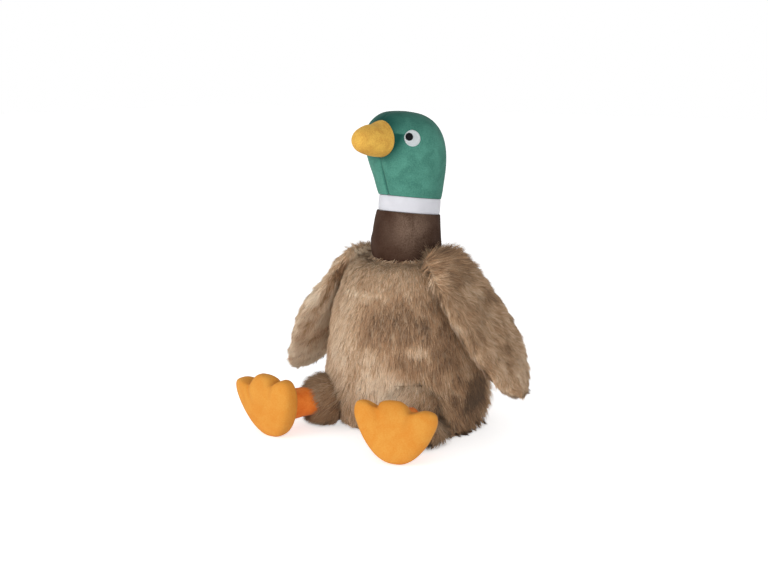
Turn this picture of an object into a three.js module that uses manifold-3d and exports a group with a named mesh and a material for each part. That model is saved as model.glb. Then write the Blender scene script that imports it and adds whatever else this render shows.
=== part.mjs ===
// A sitting plush drake: fur body, wings and thighs, and a short-pile neck, head, bill and feet.
// Millimetres, +Z up. The toy faces -Y, its left side is +X, and the origin is the centre of
// the flat base that it sits on. Each sewn cover and each filling is a solid of its own.
import * as THREE from "three";
import { mergeVertices } from "three/addons/utils/BufferGeometryUtils.js";
import Module from "manifold-3d";

const wasm = await Module();
wasm.setup();

const degrees = THREE.MathUtils.degToRad;

// Cloth, seams and clearances
const furWall = 8;
const velourWall = 3.5;
const seamGap = 0.3;
const jointGap = 0.3;

// Torso: a pear that sits flat and carries the neck on top
const torsoHeight = 166;
const bellyRadius = 82;
const torsoDepthShare = 0.97;
const baseThickness = 6;
const torsoOutlineShares = [
  [0.88, 0], [0.95, 0.04], [0.985, 0.12], [1, 0.265], [1, 0.445], [0.975, 0.6],
  [0.915, 0.74], [0.825, 0.86], [0.72, 0.94], [0.6, 0.98], [0.43, 1],
];

// Ballast pouch of pellets, lying on the base
const pouchRadius = 46;
const pouchHeight = 26;
const pouchOutlineShares = [[0, 0], [0.94, 0], [1, 0.3], [0.86, 0.72], [0.5, 0.95], [0, 1]];

// Neck: a tapered sleeve with a round foot, leaning back from its pivot over the torso
const neckPivotHeight = 178;
const neckPivotForward = 5;
const neckTilt = degrees(7);
const neckLength = 29.5;
const neckRootRadius = 35;
const neckTopRadius = 31;
const neckFootAngle = degrees(40);

// Collar ribbon
const collarHeight = 15;
const collarRadius = 30.2;
const collarThickness = 2.2;

// Head: an egg that leans forward over the collar
const headHeight = 81.5;
const headRadius = 38.5;
const headDepthShare = 1.03;
const headTurn = degrees(6);
const crownForward = 21;
const headOutlineShares = [
  [0.79, 0], [0.83, 0.07], [0.885, 0.2], [0.955, 0.35], [1, 0.5], [1, 0.63],
  [0.955, 0.745], [0.85, 0.845], [0.68, 0.925], [0.42, 0.978], [0, 1],
];

// Bill: a round cone with a blunt tip
const billReach = 82;
const billDepth = 50;
const billHalfWidth = 19.5;
const billHalfHeight = 18.5;
const billRise = 58;
const billOutlineShares = [
  [0.97, 0], [1, 0.22], [0.97, 0.42], [0.86, 0.6], [0.72, 0.76], [0.54, 0.89], [0.3, 0.97], [0, 1],
];

// Eyes: a white disc with a pupil, both embroidered
const eyeRadius = 7.8;
const pupilRadius = 3.8;
const pupilForward = 2.8;
const pupilRise = 1.2;
const eyeAngle = degrees(53);
const eyeRise = 55;
const eyeProud = 0.5;
const eyeSunk = 0.9;
const pupilProud = 0.9;

// Wings: leaf-shaped pillows hung from a seam along each shoulder
const wingRootOut = 53;
const wingRootForward = 13;
const wingRootHeight = 165;
const wingLength = 152;
const wingHalfWidth = 38;
const wingHalfThickness = 13;
const wingFlare = degrees(36);
const wingOutlineShares = [
  [0.56, 0.45, 0], [0.78, 0.75, 0.12], [0.94, 0.96, 0.27], [1, 1, 0.43], [0.98, 0.97, 0.58],
  [0.9, 0.9, 0.73], [0.74, 0.76, 0.86], [0.46, 0.5, 0.955], [0, 0.2, 1],
];

// Legs: a fur ball for the thigh and a velour shank that ends in a round ankle
const hipOut = 84;
const hipHeight = 24.3;
const thighRadius = 24;
const shankRadius = 14;
const ankleReach = 45;
const ankleRadius = 15;
const legs = {
  left: { hip: degrees(39), facing: degrees(20), footTurn: degrees(4) },
  right: { hip: degrees(-39), facing: degrees(-20), footTurn: degrees(14) },
};

// Feet: three-toed pads that stand on their heels
const footHalfWidth = 38;
const footHeight = 57.5;
const footHalfThickness = 13;
const footForward = 19;
const footLean = degrees(10);
const heelFlat = 0.5;
const footOutlineShares = [
  [0, -0.5], [0.25, -0.475], [0.5, -0.37], [0.76, -0.16], [0.95, 0.1], [1, 0.28],
  [0.86, 0.41], [0.62, 0.38], [0.44, 0.27], [0.34, 0.38], [0.18, 0.475], [0, 0.5],
];
const footPuffShares = [[1, 0], [0.88, 0.66], [0.5, 0.97]];

// Facets round each kind of form
const bodyFacets = 20;
const limbFacets = 14;

function material(colour, roughness) {
  return new THREE.MeshStandardMaterial({ color: colour, roughness, metalness: 0 });
}

const fur = material(0x9b7b5e, 1);
const brownVelour = material(0x4f3d33, 0.95);
const greenVelour = material(0x2f7d63, 0.95);
const yellowVelour = material(0xe8b13c, 0.95);
const footVelour = material(0xf0a03a, 0.95);
const shankVelour = material(0xe07a25, 0.95);
const ribbon = material(0xeeecf2, 0.6);
const whiteThread = material(0xf2f2f4, 0.5);
const blackThread = material(0x141416, 0.45);
const fibre = material(0xf4f2ec, 1);
const pouchCloth = material(0xd9d2c0, 0.9);

// A closed three.js geometry as a solid. Faces that collapse at a pole are dropped, and a
// surface that is wound inwards is turned round.
function solid(geometry) {
  const flat = geometry.index ? geometry.toNonIndexed() : geometry;
  const bare = new THREE.BufferGeometry().setAttribute("position", flat.getAttribute("position"));
  const merged = mergeVertices(bare, seamGap / 1000);
  const place = merged.getAttribute("position");
  const corners = [];
  let volume = 0;
  for (let i = 0; i < merged.index.count; i += 3) {
    const [a, b, c] = [0, 1, 2].map((k) => merged.index.getX(i + k));
    if (a === b || b === c || c === a) continue;
    corners.push(a, b, c);
    const [p, q, r] = [a, b, c].map((k) => new THREE.Vector3().fromBufferAttribute(place, k));
    volume += p.dot(q.cross(r));
  }
  if (volume < 0) corners.reverse();
  const triVerts = new Uint32Array(corners);
  return new wasm.Manifold(new wasm.Mesh({ numProp: 3, vertProperties: place.array, triVerts }));
}

// A solid as a named piece of the scene.
function piece(name, made, cloth) {
  const { vertProperties, triVerts } = made.getMesh();
  const geometry = new THREE.BufferGeometry();
  geometry.setAttribute("position", new THREE.BufferAttribute(new Float32Array(vertProperties), 3));
  geometry.setIndex(new THREE.BufferAttribute(new Uint32Array(triVerts), 1));
  geometry.computeVertexNormals();
  const mesh = new THREE.Mesh(geometry, cloth);
  mesh.name = name;
  return mesh;
}

function group(pieces, x, y, z) {
  const made = new THREE.Group().add(...pieces);
  made.position.set(x, y, z);
  return made;
}

// A closed solid through rings of points, with a flat fan over each end ring.
function loft(rings) {
  const centre = (ring) => {
    const sum = ring.reduce((total, p) => total.add(p), new THREE.Vector3());
    return ring.map(() => sum.clone().divideScalar(ring.length));
  };
  const rows = [centre(rings[0]), ...rings, centre(rings.at(-1))];
  const corners = [];
  for (let j = 0; j + 1 < rows.length; j++) {
    for (let i = 0; i < rows[j].length; i++) {
      const k = (i + 1) % rows[j].length;
      corners.push(rows[j][i], rows[j][k], rows[j + 1][i]);
      corners.push(rows[j][k], rows[j + 1][k], rows[j + 1][i]);
    }
  }
  return solid(new THREE.BufferGeometry().setFromPoints(corners));
}

function turns(facets) {
  return Array.from({ length: facets }, (_, i) => (2 * Math.PI * i) / facets);
}

function moved(made, x, y, z) {
  return made.translate([x, y, z]);
}

function ball(radius, facets, x, y, z) {
  return moved(solid(new THREE.SphereGeometry(radius, facets, facets / 2)), x, y, z);
}

// The hollow for a round end of a radius. Its facets stay outside the turning end.
function socket(radius, facets, x, y, z) {
  return ball((radius + jointGap) / Math.cos(Math.PI / facets) ** 2, facets, x, y, z);
}

function cut(made, ...tools) {
  return tools.reduce((left, tool) => left.subtract(tool), made);
}

// A block wider than the whole toy, on one side of the plane at a distance along a direction.
const toyHeight = neckPivotHeight + neckLength + collarHeight + headHeight;

function beyond(distance, x, y, z) {
  const span = 2 * toyHeight;
  const middle = distance + span / 2;
  return moved(solid(new THREE.BoxGeometry(span, span, span)), x * middle, y * middle, z * middle);
}

// The outline through shares of a width and a height, moved inwards by an inset.
function outline(shares, width, height, inset) {
  const curve = new THREE.SplineCurve(shares.map(([a, b]) => new THREE.Vector2(a * width, b * height)));
  return shares.map((_, i) => {
    const share = i / (shares.length - 1);
    const at = curve.getPoint(share);
    const along = curve.getTangent(share);
    return new THREE.Vector2(Math.max(at.x - along.y * inset, 0), at.y + along.x * inset);
  });
}

// Torso
function torso(inset) {
  const profile = outline(torsoOutlineShares, bellyRadius, torsoHeight, inset);
  return loft(
    profile.map((p) =>
      turns(bodyFacets).map(
        (t) => new THREE.Vector3(p.x * Math.cos(t), p.x * torsoDepthShare * Math.sin(t), p.y),
      ),
    ),
  );
}

function hipPlace(side) {
  const angle = legs[side].hip;
  return [hipOut * Math.sin(angle), -hipOut * Math.cos(angle)];
}

// What is cleared out of the torso for the neck's foot, the wing roots and the thighs.
function torsoSockets() {
  const neck = socket(neckRootRadius, bodyFacets, 0, -neckPivotForward, neckPivotHeight);
  const hips = ["left", "right"].map((side) =>
    socket(thighRadius, limbFacets, ...hipPlace(side), hipHeight),
  );
  const rootRadius = (wingRootRadius + jointGap) / Math.cos(Math.PI / limbFacets);
  const rootLength = 2 * (wingRootHalfWidth + jointGap);
  const wings = [1, -1].map((way) =>
    moved(
      solid(new THREE.CylinderGeometry(rootRadius, rootRadius, rootLength, limbFacets)),
      way * wingRootOut,
      -wingRootForward,
      wingRootHeight,
    ),
  );
  return [neck, ...hips, ...wings];
}

function pouch(grow) {
  const profile = pouchOutlineShares.map(
    ([r, z]) => new THREE.Vector2(r && r * pouchRadius + grow, z ? z * pouchHeight + grow : -grow),
  );
  const geometry = new THREE.LatheGeometry(profile, limbFacets).rotateX(Math.PI / 2);
  return moved(solid(geometry), 0, 0, baseThickness + seamGap);
}

function torsoPieces() {
  const sockets = torsoSockets();
  const aboveBase = beyond(baseThickness + seamGap, 0, 0, 1);
  const whole = cut(torso(0), ...sockets);
  const cover = cut(whole, torso(furWall)).intersect(aboveBase);
  const filling = cut(torso(furWall + seamGap), ...sockets).intersect(aboveBase);
  return [
    piece("body_front_panel", cover.intersect(beyond(seamGap / 2, 0, -1, 0)), fur),
    piece("body_back_panel", cover.intersect(beyond(seamGap / 2, 0, 1, 0)), fur),
    piece("body_base_panel", cut(whole, beyond(baseThickness, 0, 0, 1)), fur),
    piece("body_filling", cut(filling, pouch(seamGap)), fibre),
    piece("ballast_pouch", pouch(0), pouchCloth),
  ];
}

// Neck and collar, turned about the neck's own axis with the pivot at zero
const headBottom = neckLength + collarHeight;

// A turned solid from its closed profile of radius and height.
function turned(points, facets) {
  const profile = [...points, points[0]].map(([r, z]) => new THREE.Vector2(r, z));
  return solid(new THREE.LatheGeometry(profile, facets).rotateX(Math.PI / 2));
}

// Points of a circle about a middle, as radius and height, from one angle to another.
function arc(radius, middle, from, to, steps) {
  return Array.from({ length: steps + 1 }, (_, i) => {
    const angle = from + ((to - from) * i) / steps;
    return [radius * Math.cos(angle), middle + radius * Math.sin(angle)];
  });
}

function neckPieces() {
  const inner = neckRootRadius - velourWall;
  const innerTop = neckTopRadius - velourWall;
  const sleeve = turned(
    [
      ...arc(neckRootRadius, 0, -neckFootAngle, 0, 3),
      [neckTopRadius, neckLength],
      [innerTop, neckLength],
      ...arc(inner, 0, 0, -neckFootAngle, 3),
    ],
    bodyFacets,
  );
  const collarInner = collarRadius - collarThickness;
  const filling = turned(
    [
      ...arc(inner - seamGap, 0, -Math.PI / 2, 0, 4),
      [innerTop - seamGap, neckLength],
      [Math.min(collarInner, innerTop) - seamGap, headBottom],
      [0, headBottom],
    ],
    bodyFacets,
  );
  const collarLow = neckLength + seamGap;
  const collar = turned(
    [
      [collarRadius, collarLow],
      [collarRadius, headBottom],
      [collarInner, headBottom],
      [collarInner, collarLow],
    ],
    bodyFacets,
  );
  return [
    piece("neck_sleeve", sleeve, brownVelour),
    piece("neck_filling", filling, fibre),
    piece("collar_band", collar, ribbon),
  ];
}

// Head, bill and eyes, on the neck's axis
const headLow = headBottom + seamGap;

function head(inset) {
  const profile = outline(headOutlineShares, headRadius, headHeight, inset);
  return loft(
    profile.map((p) =>
      turns(bodyFacets).map((t) => {
        const y = p.x * headDepthShare * Math.sin(t) - (crownForward * p.y) / headHeight;
        return new THREE.Vector3(p.x * Math.cos(t), y, headLow + p.y);
      }),
    ),
  );
}

// The bill points forward and level while the neck leans back.
function bill(inset) {
  const length = billDepth - inset;
  const shape = loft(
    billOutlineShares.map(([share, alongShare]) =>
      turns(limbFacets).map(
        (t) =>
          new THREE.Vector3(
            share * (billHalfWidth - inset) * Math.cos(t),
            billDepth - billReach - alongShare * length,
            share * (billHalfHeight - inset) * Math.sin(t),
          ),
      ),
    ),
  );
  return levelled(shape);
}

function levelled(made) {
  return moved(made.rotate([THREE.MathUtils.radToDeg(neckTilt), 0, 0]), 0, 0, headLow + billRise);
}

// A round plug of a layer of the head's surface, square to the surface at an eye.
function eyeLayer(way, radius, forward, rise, proud, sunk) {
  const plug = new THREE.CylinderGeometry(radius, radius, headRadius, limbFacets);
  const angle = eyeAngle - forward / headRadius;
  const lean = (crownForward * (eyeRise + rise)) / headHeight;
  plug.translate(0, headRadius, 0);
  plug.rotateX(Math.PI);
  plug.rotateZ(way * angle);
  const placed = moved(solid(plug), 0, -lean, headLow + eyeRise + rise);
  return cut(head(-proud), head(sunk)).intersect(placed);
}

function headPieces() {
  const eyes = [["left", 1], ["right", -1]].map(([side, way]) => {
    const pupil = (grow) =>
      eyeLayer(way, pupilRadius + grow, pupilForward, pupilRise, pupilProud + grow, eyeSunk / 2 + grow);
    const white = (grow) => eyeLayer(way, eyeRadius + grow, 0, 0, eyeProud + grow, eyeSunk + grow);
    return { side, pupil, white };
  });
  const cover = cut(head(0), head(velourWall), ...eyes.map((eye) => eye.white(seamGap)));
  const billCover = cut(bill(0), bill(velourWall), head(-seamGap));
  const billFilling = cut(bill(velourWall + seamGap), head(-seamGap));
  const split = (way) => levelled(beyond(seamGap / 2, 0, 0, way));
  return [
    piece("head_left_panel", cover.intersect(beyond(seamGap / 2, 1, 0, 0)), greenVelour),
    piece("head_right_panel", cover.intersect(beyond(seamGap / 2, -1, 0, 0)), greenVelour),
    piece("head_filling", head(velourWall + seamGap), fibre),
    piece("bill_upper_panel", billCover.intersect(split(1)), yellowVelour),
    piece("bill_lower_panel", billCover.intersect(split(-1)), yellowVelour),
    piece("bill_filling", billFilling, fibre),
    ...eyes.flatMap(({ side, pupil, white }) => [
      piece(`${side}_eye_white`, cut(white(0), pupil(seamGap)), whiteThread),
      piece(`${side}_eye_pupil`, pupil(0), blackThread),
    ]),
  ];
}

// Wings, hanging along -Z from the shoulder seam, with the outer face away from the body
const wingRootHalfWidth = wingHalfWidth * wingOutlineShares[0][0];
const wingRootRadius = wingHalfThickness * wingOutlineShares[0][1];

function wing(inset) {
  const length = wingLength - 2 * inset;
  return loft(
    wingOutlineShares.map(([widthShare, thicknessShare, alongShare]) =>
      turns(limbFacets).map(
        (t) =>
          new THREE.Vector3(
            thicknessShare * (wingHalfThickness - inset) * Math.sin(t),
            widthShare * (wingHalfWidth - inset) * Math.cos(t),
            -inset - alongShare * length,
          ),
      ),
    ),
  );
}

function wingGroup(side, way) {
  const place = [way * wingRootOut, -wingRootForward, wingRootHeight];
  const body = torso(-jointGap)
    .translate(place.map((v) => -v))
    .rotate([0, THREE.MathUtils.radToDeg(way * wingFlare), 0]);
  const root = solid(
    new THREE.CylinderGeometry(wingRootRadius, wingRootRadius, 2 * wingRootHalfWidth, limbFacets),
  );
  const whole = cut(wing(0), body).add(root);
  const inside = cut(wing(furWall / 2 + seamGap), body, moved(body, way * (furWall / 2 + seamGap), 0, 0));
  const cover = cut(whole, cut(wing(furWall / 2), body, moved(body, (way * furWall) / 2, 0, 0)));
  const made = group(
    [
      piece(`${side}_wing_outer_panel`, cover.intersect(beyond(seamGap / 2, way, 0, 0)), fur),
      piece(`${side}_wing_inner_panel`, cover.intersect(beyond(seamGap / 2, -way, 0, 0)), fur),
      piece(`${side}_wing_filling`, inside, fibre),
    ],
    ...place,
  );
  made.rotation.y = -way * wingFlare;
  return made;
}

// Legs, standing on the floor under the hip and facing -Y
function alongLeg(points) {
  return moved(turned(points, limbFacets).rotate([90, 0, 0]), 0, 0, hipHeight);
}

function legPieces(side) {
  const back = -Math.PI / 2;
  const meet = (radius, opening) => Math.acos(opening / radius);
  const opening = shankRadius + seamGap;
  const stuffed = thighRadius - furWall;
  const cover = alongLeg([
    ...arc(thighRadius, 0, back, meet(thighRadius, opening), 6),
    ...arc(stuffed, 0, meet(stuffed, opening), back, 4),
  ]);
  const inner = shankRadius - velourWall;
  const shank = alongLeg([
    [shankRadius, stuffed + seamGap],
    ...arc(ankleRadius, ankleReach, 0, -back, 3),
    ...arc(ankleRadius - velourWall, ankleReach, -back, 0, 3),
    [inner, stuffed + seamGap],
  ]);
  const fill = stuffed - seamGap;
  const filling = alongLeg([
    ...arc(fill, 0, back, meet(fill, inner - seamGap), 5),
    ...arc(ankleRadius - velourWall - seamGap, ankleReach, 0, -back, 3),
  ]);
  return [
    piece(`${side}_thigh_cover`, cover, fur),
    piece(`${side}_shank_cover`, shank, shankVelour),
    piece(`${side}_leg_filling`, filling, fibre),
  ];
}

function foot(inset) {
  const half = footOutlineShares.map(([x, z]) => [
    x * (footHalfWidth - inset),
    z * (footHeight + heelFlat - 2 * inset),
  ]);
  const mirrored = half.slice(1, -1).reverse().map(([x, z]) => [-x, z]);
  const rim = [...half, ...mirrored];
  const layers = [
    ...footPuffShares.slice(1).reverse(),
    footPuffShares[0],
    ...footPuffShares.slice(1).map(([scale, rise]) => [scale, -rise]),
  ];
  const rings = layers.map(([scale, rise]) =>
    rim.map(([x, z]) => new THREE.Vector3(x * scale, -rise * (footHalfThickness - inset), z * scale)),
  );
  return loft(rings);
}

// The foot is made about its ankle and turned a little on the shank.
function footGroup(side) {
  const placed = (made) =>
    moved(made.rotate([-THREE.MathUtils.radToDeg(footLean), 0, 0]), 0, -footForward, footHeight / 2);
  const floor = beyond(0, 0, 0, -1);
  const ankle = socket(ankleRadius, limbFacets, 0, 0, hipHeight);
  const half = (way) => placed(beyond(seamGap / 2, 0, way, 0));
  const cover = cut(placed(foot(0)), placed(foot(velourWall)), floor, ankle);
  const made = group(
    [
      piece(`${side}_foot_sole_panel`, cover.intersect(half(-1)), footVelour),
      piece(`${side}_foot_top_panel`, cover.intersect(half(1)), footVelour),
      piece(`${side}_foot_filling`, cut(placed(foot(velourWall + seamGap)), ankle), fibre),
    ],
    0,
    -ankleReach,
    0,
  );
  made.rotation.z = legs[side].footTurn;
  return made;
}

function legGroup(side) {
  const made = group([...legPieces(side), footGroup(side)], ...hipPlace(side), 0);
  made.rotation.z = legs[side].facing;
  return made;
}

const neckAndHead = group([...neckPieces(), ...headPieces()], 0, -neckPivotForward, neckPivotHeight);
neckAndHead.rotation.set(-neckTilt, 0, -headTurn, "ZXY");

const drake = new THREE.Group();
drake.add(...torsoPieces(), neckAndHead);
drake.add(wingGroup("left", 1), wingGroup("right", -1));
drake.add(legGroup("left"), legGroup("right"));

export default drake;
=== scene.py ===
import bmesh
import bpy
import numpy as np
from mathutils import Matrix, Vector


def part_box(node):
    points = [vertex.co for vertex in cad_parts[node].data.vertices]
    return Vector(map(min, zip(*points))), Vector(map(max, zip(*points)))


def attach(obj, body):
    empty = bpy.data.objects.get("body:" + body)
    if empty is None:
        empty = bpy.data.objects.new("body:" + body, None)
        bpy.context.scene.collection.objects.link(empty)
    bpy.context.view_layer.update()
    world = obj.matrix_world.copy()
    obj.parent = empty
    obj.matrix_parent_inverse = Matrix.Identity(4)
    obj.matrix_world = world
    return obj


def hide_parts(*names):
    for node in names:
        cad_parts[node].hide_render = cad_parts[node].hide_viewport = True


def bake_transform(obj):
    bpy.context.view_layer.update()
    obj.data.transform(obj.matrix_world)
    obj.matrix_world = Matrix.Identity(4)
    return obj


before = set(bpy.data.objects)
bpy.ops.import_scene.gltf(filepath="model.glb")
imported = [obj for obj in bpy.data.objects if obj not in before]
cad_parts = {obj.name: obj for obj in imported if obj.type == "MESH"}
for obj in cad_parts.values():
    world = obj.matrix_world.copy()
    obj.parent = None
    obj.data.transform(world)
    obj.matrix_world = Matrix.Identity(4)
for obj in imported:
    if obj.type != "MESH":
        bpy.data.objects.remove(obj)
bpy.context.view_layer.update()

# Pellet pouch. A flat bag of plain woven cotton, filled with plastic pellets and sewn shut. It
# lies loose on the base inside the body and weighs the sitting toy down.
pouch_low, pouch_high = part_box("ballast_pouch")
pouch_shares = [(0, 0), (0.94, 0), (1, 0.3), (0.86, 0.72), (0.5, 0.95), (0, 1)]
pellet_size = 0.004
pellet_bulge = 0.0004
full_turn = 2 * np.pi
crisp_angle = np.radians(55)


def smooth_places(points, at):
    """Places on a smooth line through the points, where a whole number stands for a point."""
    points = np.asarray(points, float)
    first = np.minimum(at.astype(int), len(points) - 2)
    t = (at - first)[:, None]
    a, b, c, d = (points[np.clip(first + k, 0, len(points) - 1)] for k in (-1, 0, 1, 2))
    bend = a - 2.5 * b + 2 * c - 0.5 * d
    twist = 0.5 * (d - a) + 1.5 * (b - c)
    return b + t * (0.5 * (c - a) + t * (bend + t * twist))


def smooth_line(points, steps):
    """A smooth line through the points, cut into even steps from the first to the last."""
    return smooth_places(points, np.linspace(0, len(points) - 1, steps))


def outline(shares, width, height, inset, steps):
    """A smooth outline through shares of a width and a height, moved inwards by an inset."""
    line = smooth_line(np.array(shares) * (width, height), steps)
    way = np.gradient(line, axis=0)
    way /= np.linalg.norm(way, axis=1, keepdims=True)
    line += inset * np.stack([-way[:, 1], way[:, 0]], 1)
    line[:, 0] = np.maximum(line[:, 0], 0)
    return line


def turned(line, angles, depth=1.0):
    """A grid of points: an outline of radius and height, turned about the upright axis."""
    x = line[:, :1] * np.cos(angles)
    y = line[:, :1] * np.sin(angles) * depth
    return np.stack([x, y, np.repeat(line[:, 1:], len(angles), 1)], -1)


def angles_round(steps, start=0.0, share=1.0):
    """Angles of a full turn, or from a start through a share of it with both ends."""
    return start + np.linspace(0, full_turn * share, steps, endpoint=share < 1)


def grid_faces(rows, columns, closed):
    """The four-cornered faces between the points of a grid, which may close round on itself."""
    index = np.arange(rows * columns).reshape(rows, columns)
    if closed:
        index = np.column_stack([index, index[:, 0]])
    corners = [index[:-1, :-1], index[:-1, 1:], index[1:, 1:], index[1:, :-1]]
    return np.stack(corners, -1).reshape(-1, 4)


def facing(grid, closed, core=None):
    """The outward direction of a grid's surface at each point, away from its core or middle."""
    wide = np.concatenate([grid[:, -1:], grid, grid[:, :1]], 1) if closed else grid
    out = np.cross(np.gradient(wide, axis=1), np.gradient(wide, axis=0))
    if closed:
        out = out[:, 1:-1]
    for row, beside in ((0, 1), (-1, -2)):
        if np.ptp(grid[row], axis=0).max() < 1e-7:
            out[row] = out[beside].mean(0)
    out /= np.maximum(np.linalg.norm(out, axis=-1, keepdims=True), 1e-12)
    core = grid.reshape(-1, 3).mean(0) if core is None else core
    return out if ((grid - core) * out).sum() > 0 else -out


def ripple(places, size, seed):
    """A smooth random value, from about -1 to 1, that changes over about this size."""
    draw = np.random.default_rng(seed)
    ways = draw.normal(size=(8, 3))
    ways /= np.linalg.norm(ways, axis=1, keepdims=True) * size * draw.uniform(0.7, 1.5, (8, 1))
    waves = np.sin(full_turn * (places @ ways.T + draw.uniform(size=8)))
    return waves.mean(-1) * 1.8


def make_piece(name, points, faces, material):
    """A mesh piece in its place. Corners that meet are joined, and faces point out."""
    mesh = bpy.data.meshes.new(name)
    mesh.from_pydata(points.reshape(-1, 3).tolist(), [], faces.tolist())
    sewing = bmesh.new()
    sewing.from_mesh(mesh)
    bmesh.ops.remove_doubles(sewing, verts=sewing.verts, dist=2e-6)
    bmesh.ops.recalc_face_normals(sewing, faces=sewing.faces)
    sewing.to_mesh(mesh)
    sewing.free()
    mesh.shade_smooth()
    mesh.set_sharp_from_angle(angle=crisp_angle)
    mesh.materials.append(material)
    piece = bpy.data.objects.new(name, mesh)
    bpy.context.scene.collection.objects.link(piece)
    return piece


def fit_piece(piece, body, slot, *nodes, fill=None):
    """Rides a piece on its body and hides the nodes that it stands for."""
    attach(piece, body)
    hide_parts(*nodes)


def closed_piece(name, grid, material):
    """A piece whose surface is a grid that closes round on itself."""
    return make_piece(name, grid, grid_faces(*grid.shape[:2], True), material)


def add_node(tree, kind, inputs=None, **settings):
    """A shader node with its settings. An input is a value or the socket that feeds it."""
    node = tree.nodes.new(kind)
    for name, value in settings.items():
        setattr(node, name, value)
    for name, value in (inputs or {}).items():
        if isinstance(value, bpy.types.NodeSocket):
            tree.links.new(value, node.inputs[name])
        else:
            node.inputs[name].default_value = value
    return node


def maths(tree, operation, *values):
    """The socket of an operation on numbers, or on the sockets that feed them."""
    return add_node(tree, "ShaderNodeMath", dict(enumerate(values)), operation=operation).outputs[0]


def ranged(tree, value, start=(0, 1), end=(0, 1)):
    """The socket of a value that is moved from one range to another."""
    names = ("From Min", "From Max", "To Min", "To Max")
    inputs = {"Value": value, **dict(zip(names, (*start, *end)))}
    return add_node(tree, "ShaderNodeMapRange", inputs).outputs[0]


def mix_colours(tree, factor, first, second):
    """The socket of a mix of two colours by a factor."""
    inputs = {0: factor, 6: first, 7: second}
    return add_node(tree, "ShaderNodeMix", inputs, data_type="RGBA").outputs[2]


def shader_group(name, inputs, outputs):
    """A new node group with named sockets. Returns it with its two end nodes."""
    group = bpy.data.node_groups.new(name, "ShaderNodeTree")
    for direction, sockets in (("INPUT", inputs), ("OUTPUT", outputs)):
        for socket, kind in sockets.items():
            group.interface.new_socket(socket, in_out=direction, socket_type=f"NodeSocket{kind}")
    return group, group.nodes.new("NodeGroupInput"), group.nodes.new("NodeGroupOutput")


def cloth_material(name, roughness, sheen=0.0, sheen_colour=(1, 1, 1, 1), sheen_roughness=0.4):
    """A material whose shader has a cloth's even values. Returns it, its nodes and the shader."""
    material = bpy.data.materials.new(name)
    material.use_nodes = True
    tree = material.node_tree
    shader = tree.nodes["Principled BSDF"]
    shader.inputs["Roughness"].default_value = roughness
    shader.inputs["Specular IOR Level"].default_value = 0.15
    shader.inputs["Sheen Weight"].default_value = sheen
    shader.inputs["Sheen Roughness"].default_value = sheen_roughness
    shader.inputs["Sheen Tint"].default_value = sheen_colour
    return material, tree, shader


def bump(tree, shader, height, distance, strength=1.0):
    """Links a height to the shader's normal, as relief of a distance in metres."""
    inputs = {"Height": height, "Distance": distance, "Strength": strength}
    relief = add_node(tree, "ShaderNodeBump", inputs)
    tree.links.new(relief.outputs["Normal"], shader.inputs["Normal"])


def weave_group():
    """Threads over and under each other, as a colour and a height; the colour is painted darker
    where a thread dips under, as shade.
    """
    inputs = {"Thread Size": "Float", "Light": "Color", "Dark": "Color"}
    outputs = {"Color": "Color", "Height": "Float"}
    group, given, result = shader_group("plain_weave", inputs, outputs)
    place = add_node(group, "ShaderNodeTexCoord").outputs["Object"]
    per_metre = maths(group, "DIVIDE", full_turn, given.outputs["Thread Size"])
    inputs = {0: place, "Scale": per_metre}
    scaled = add_node(group, "ShaderNodeVectorMath", inputs, operation="SCALE")
    axes = add_node(group, "ShaderNodeSeparateXYZ", {0: scaled.outputs[0]}).outputs
    x, y, z = (maths(group, "SINE", axis) for axis in axes)
    threads = maths(group, "ADD", maths(group, "MULTIPLY", x, y), z)
    height = ranged(group, threads, start=(-2, 2))
    # Painted shade: the lower the thread, the darker its colour.
    colour = mix_colours(group, height, given.outputs["Dark"], given.outputs["Light"])
    group.links.new(colour, result.inputs["Color"])
    group.links.new(height, result.inputs["Height"])
    return group


plain_weave = weave_group()


def woven(name, thread_size, light, dark, relief, roughness=1.0, sheen=0.0):
    """Plain woven or knitted cloth in two close shades."""
    material, tree, shader = cloth_material(name, roughness, sheen)
    inputs = {"Thread Size": thread_size, "Light": (*light, 1), "Dark": (*dark, 1)}
    threads = add_node(tree, "ShaderNodeGroup", inputs, node_tree=plain_weave)
    tree.links.new(threads.outputs["Color"], shader.inputs["Base Color"])
    bump(tree, shader, threads.outputs["Height"], relief)
    return material


pouch_radius = (pouch_high.x - pouch_low.x) / 2
pouch_line = outline(pouch_shares, pouch_radius, pouch_high.z - pouch_low.z, 2 * pellet_bulge, 40)
pouch_grid = turned(pouch_line, angles_round(96))
pouch_grid[..., 2] += pouch_low.z
pellets = pellet_bulge * ripple(pouch_grid, pellet_size, 3)
pouch_grid += facing(pouch_grid, True) * pellets[..., None]
pouch_cotton = woven(
    "pouch_cotton", 0.0008, (0.72, 0.66, 0.54), (0.5, 0.45, 0.35), 0.0002, roughness=0.9, sheen=0.1
)
pouch = closed_piece("pellet_pouch", pouch_grid, pouch_cotton)
fit_piece(pouch, "torso", "pouch_cloth", "ballast_pouch", fill=0.7)

# Stuffing of the body. Loose white polyester fibre, pushed in through the back seam round the
# pouch. It fills the fur cover and gives the sitting pear its firmness.
belly_radius = 0.082
body_height = 0.166
body_depth = 0.97
body_shares = [
    (0.88, 0), (0.95, 0.04), (0.985, 0.12), (1, 0.265), (1, 0.445), (0.975, 0.6),
    (0.915, 0.74), (0.825, 0.86), (0.72, 0.94), (0.6, 0.98), (0.43, 1), (0.34, 1),
]
pile_root = 0.0033
backing = 0.0012
stuffing_gap = 0.0006
fur_depth = pile_root + backing + stuffing_gap
neck_pivot = Vector((0, -0.005, 0.178))
neck_root_radius = 0.035
thigh_radius = 0.024
hip_height = 0.0243
hip_out = 0.084
hip_angles = {"left": np.radians(39), "right": np.radians(-39)}
wing_root = {"left": Vector((0.053, -0.013, 0.165)), "right": Vector((-0.053, -0.013, 0.165))}
wing_root_reach = 0.0213
wing_root_radius = 0.0059
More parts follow.
